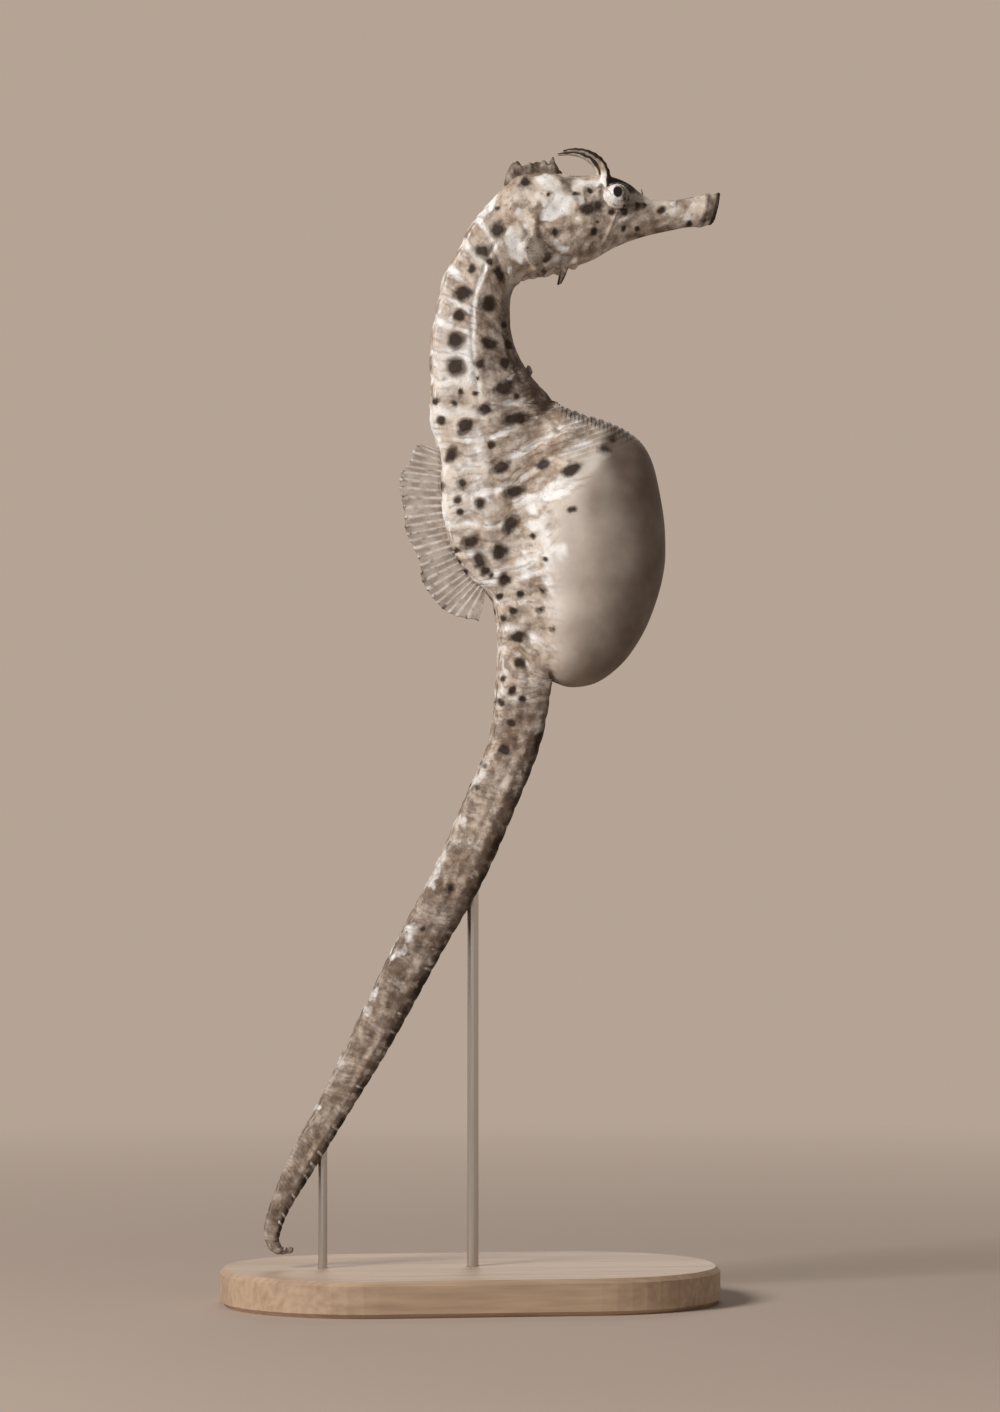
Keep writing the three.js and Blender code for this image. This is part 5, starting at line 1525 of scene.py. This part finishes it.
FLOOR_RADIUS = 0.6              # in metres, as the lights' sizes and places are
FLOOR_PAINT = "#B8A698"
# Each light's name, place, diameter and power in watts.
LIGHTS = (("key", (-1.0, -0.62, 0.75), 0.5, 19.0), ("fill", (0.5, -1.2, 0.2), 0.9, 2.6),
          ("back", (0.3, 1.1, 0.8), 0.8, 4.0))


def make_floor():
    """A plain pale floor that fades out at its edge."""
    deselect_all()
    bpy.ops.mesh.primitive_circle_add(vertices=96, radius=FLOOR_RADIUS, fill_type="NGON")
    floor = bpy.context.object
    floor.name = "floor"
    material, add = new_material("Studio floor, matt paint")
    far = add("shared", add("length", add("place")), FLOOR_RADIUS)
    paint = add("matt surface", Color=linear(FLOOR_PAINT))
    edge = add("ramp", far, stops=[(0.25, 0.0), (0.95, 1.0)])
    add("end", Surface=add("blend of shaders", edge, paint, add("clear surface")))
    floor.data.materials.append(material)


def make_world():
    """The backdrop's tone for the camera and for reflections, and a weak warm light from all round."""
    world = bpy.data.worlds.new("Studio")
    bpy.context.scene.world = world
    world.use_nodes = True
    world.node_tree.nodes.clear()
    add = functools.partial(node, world.node_tree)
    seen = add("ray")
    direct = add("most", seen, seen.node.outputs["Is Glossy Ray"])
    backdrop = add("glow", Color=linear(colours().backdrop), Strength=1.0)
    around = add("glow", Color=linear("#FFF6EE"), Strength=0.13)
    add("world's end", Surface=add("blend of shaders", direct, around, backdrop))


def make_lights():
    """A large soft key from the upper left, a weak fill from the front right and a light from behind."""
    target = np.array([0.005, 0.0, 0.17])
    for name, place, size, watts in LIGHTS:
        light = bpy.data.lights.new(name, "AREA")
        light.shape = "DISK"
        light.size = size
        light.energy = watts
        lamp = bpy.data.objects.new(name, light)
        bpy.context.scene.collection.objects.link(lamp)
        lamp.location = place
        aim = np.array(place) - target
        lamp.rotation_euler = (math.acos(aim[2] / np.linalg.norm(aim)), 0, math.atan2(aim[0], -aim[1]))
        lamp.visible_glossy = name != "fill"


def make_camera(distance):
    """A long lens, level with the middle of the animal and a little behind its side."""
    scene = bpy.context.scene
    data = bpy.data.cameras.new("camera")
    camera = bpy.data.objects.new("camera", data)
    scene.collection.objects.link(camera)
    azimuth = math.radians(-8)
    centre = np.array([6.6, 0.0, 131.1]) * MM
    tall = 310.6 * MM           # height of the view at the animal
    away = np.array([math.sin(azimuth), -math.cos(azimuth), 0]) * distance
    camera.location = centre + away
    camera.rotation_euler = (math.pi / 2, 0, azimuth)
    data.sensor_fit = "VERTICAL"
    data.sensor_height = 24
    data.lens = data.sensor_height * distance / tall
    data.clip_start = 0.05
    data.dof.use_dof = False
    scene.camera = camera
    scene.view_settings.view_transform = "Standard"


class SEAHORSE_PT_panel(bpy.types.Panel):
    """Lists the makers in the 3D view's sidebar"""
    bl_idname = "SEAHORSE_PT_panel"
    bl_label = "Seahorse"
    bl_space_type = "VIEW_3D"
    bl_region_type = "UI"
    bl_category = "Seahorse"

    def draw(self, context):
        for operator in OPERATORS:
            self.layout.operator(operator.bl_idname)
        for group in (context.scene.seahorse_sizes, context.scene.seahorse_colours):
            for name in group.__annotations__:
                self.layout.prop(group, name)


OPERATORS = (SEAHORSE_OT_skin, SEAHORSE_OT_eyes, SEAHORSE_OT_spines, SEAHORSE_OT_coronet, SEAHORSE_OT_fins,
             SEAHORSE_OT_stand, SEAHORSE_OT_stage)
CLASSES = (SeahorseSizes, SeahorseColours, *OPERATORS, SEAHORSE_PT_panel)


def register():
    for made in CLASSES:
        bpy.utils.register_class(made)
    bpy.types.Scene.seahorse_sizes = bpy.props.PointerProperty(type=SeahorseSizes)
    bpy.types.Scene.seahorse_colours = bpy.props.PointerProperty(type=SeahorseColours)


def unregister():
    del bpy.types.Scene.seahorse_colours
    del bpy.types.Scene.seahorse_sizes
    for made in reversed(CLASSES):
        bpy.utils.unregister_class(made)


def main():
    register()
    bpy.ops.seahorse.stage()
    bpy.ops.seahorse.skin()
    bpy.ops.seahorse.eyes()
    bpy.ops.seahorse.spines()
    bpy.ops.seahorse.coronet()
    bpy.ops.seahorse.fins()
    bpy.ops.seahorse.stand()


if __name__ == "__main__":
    main()
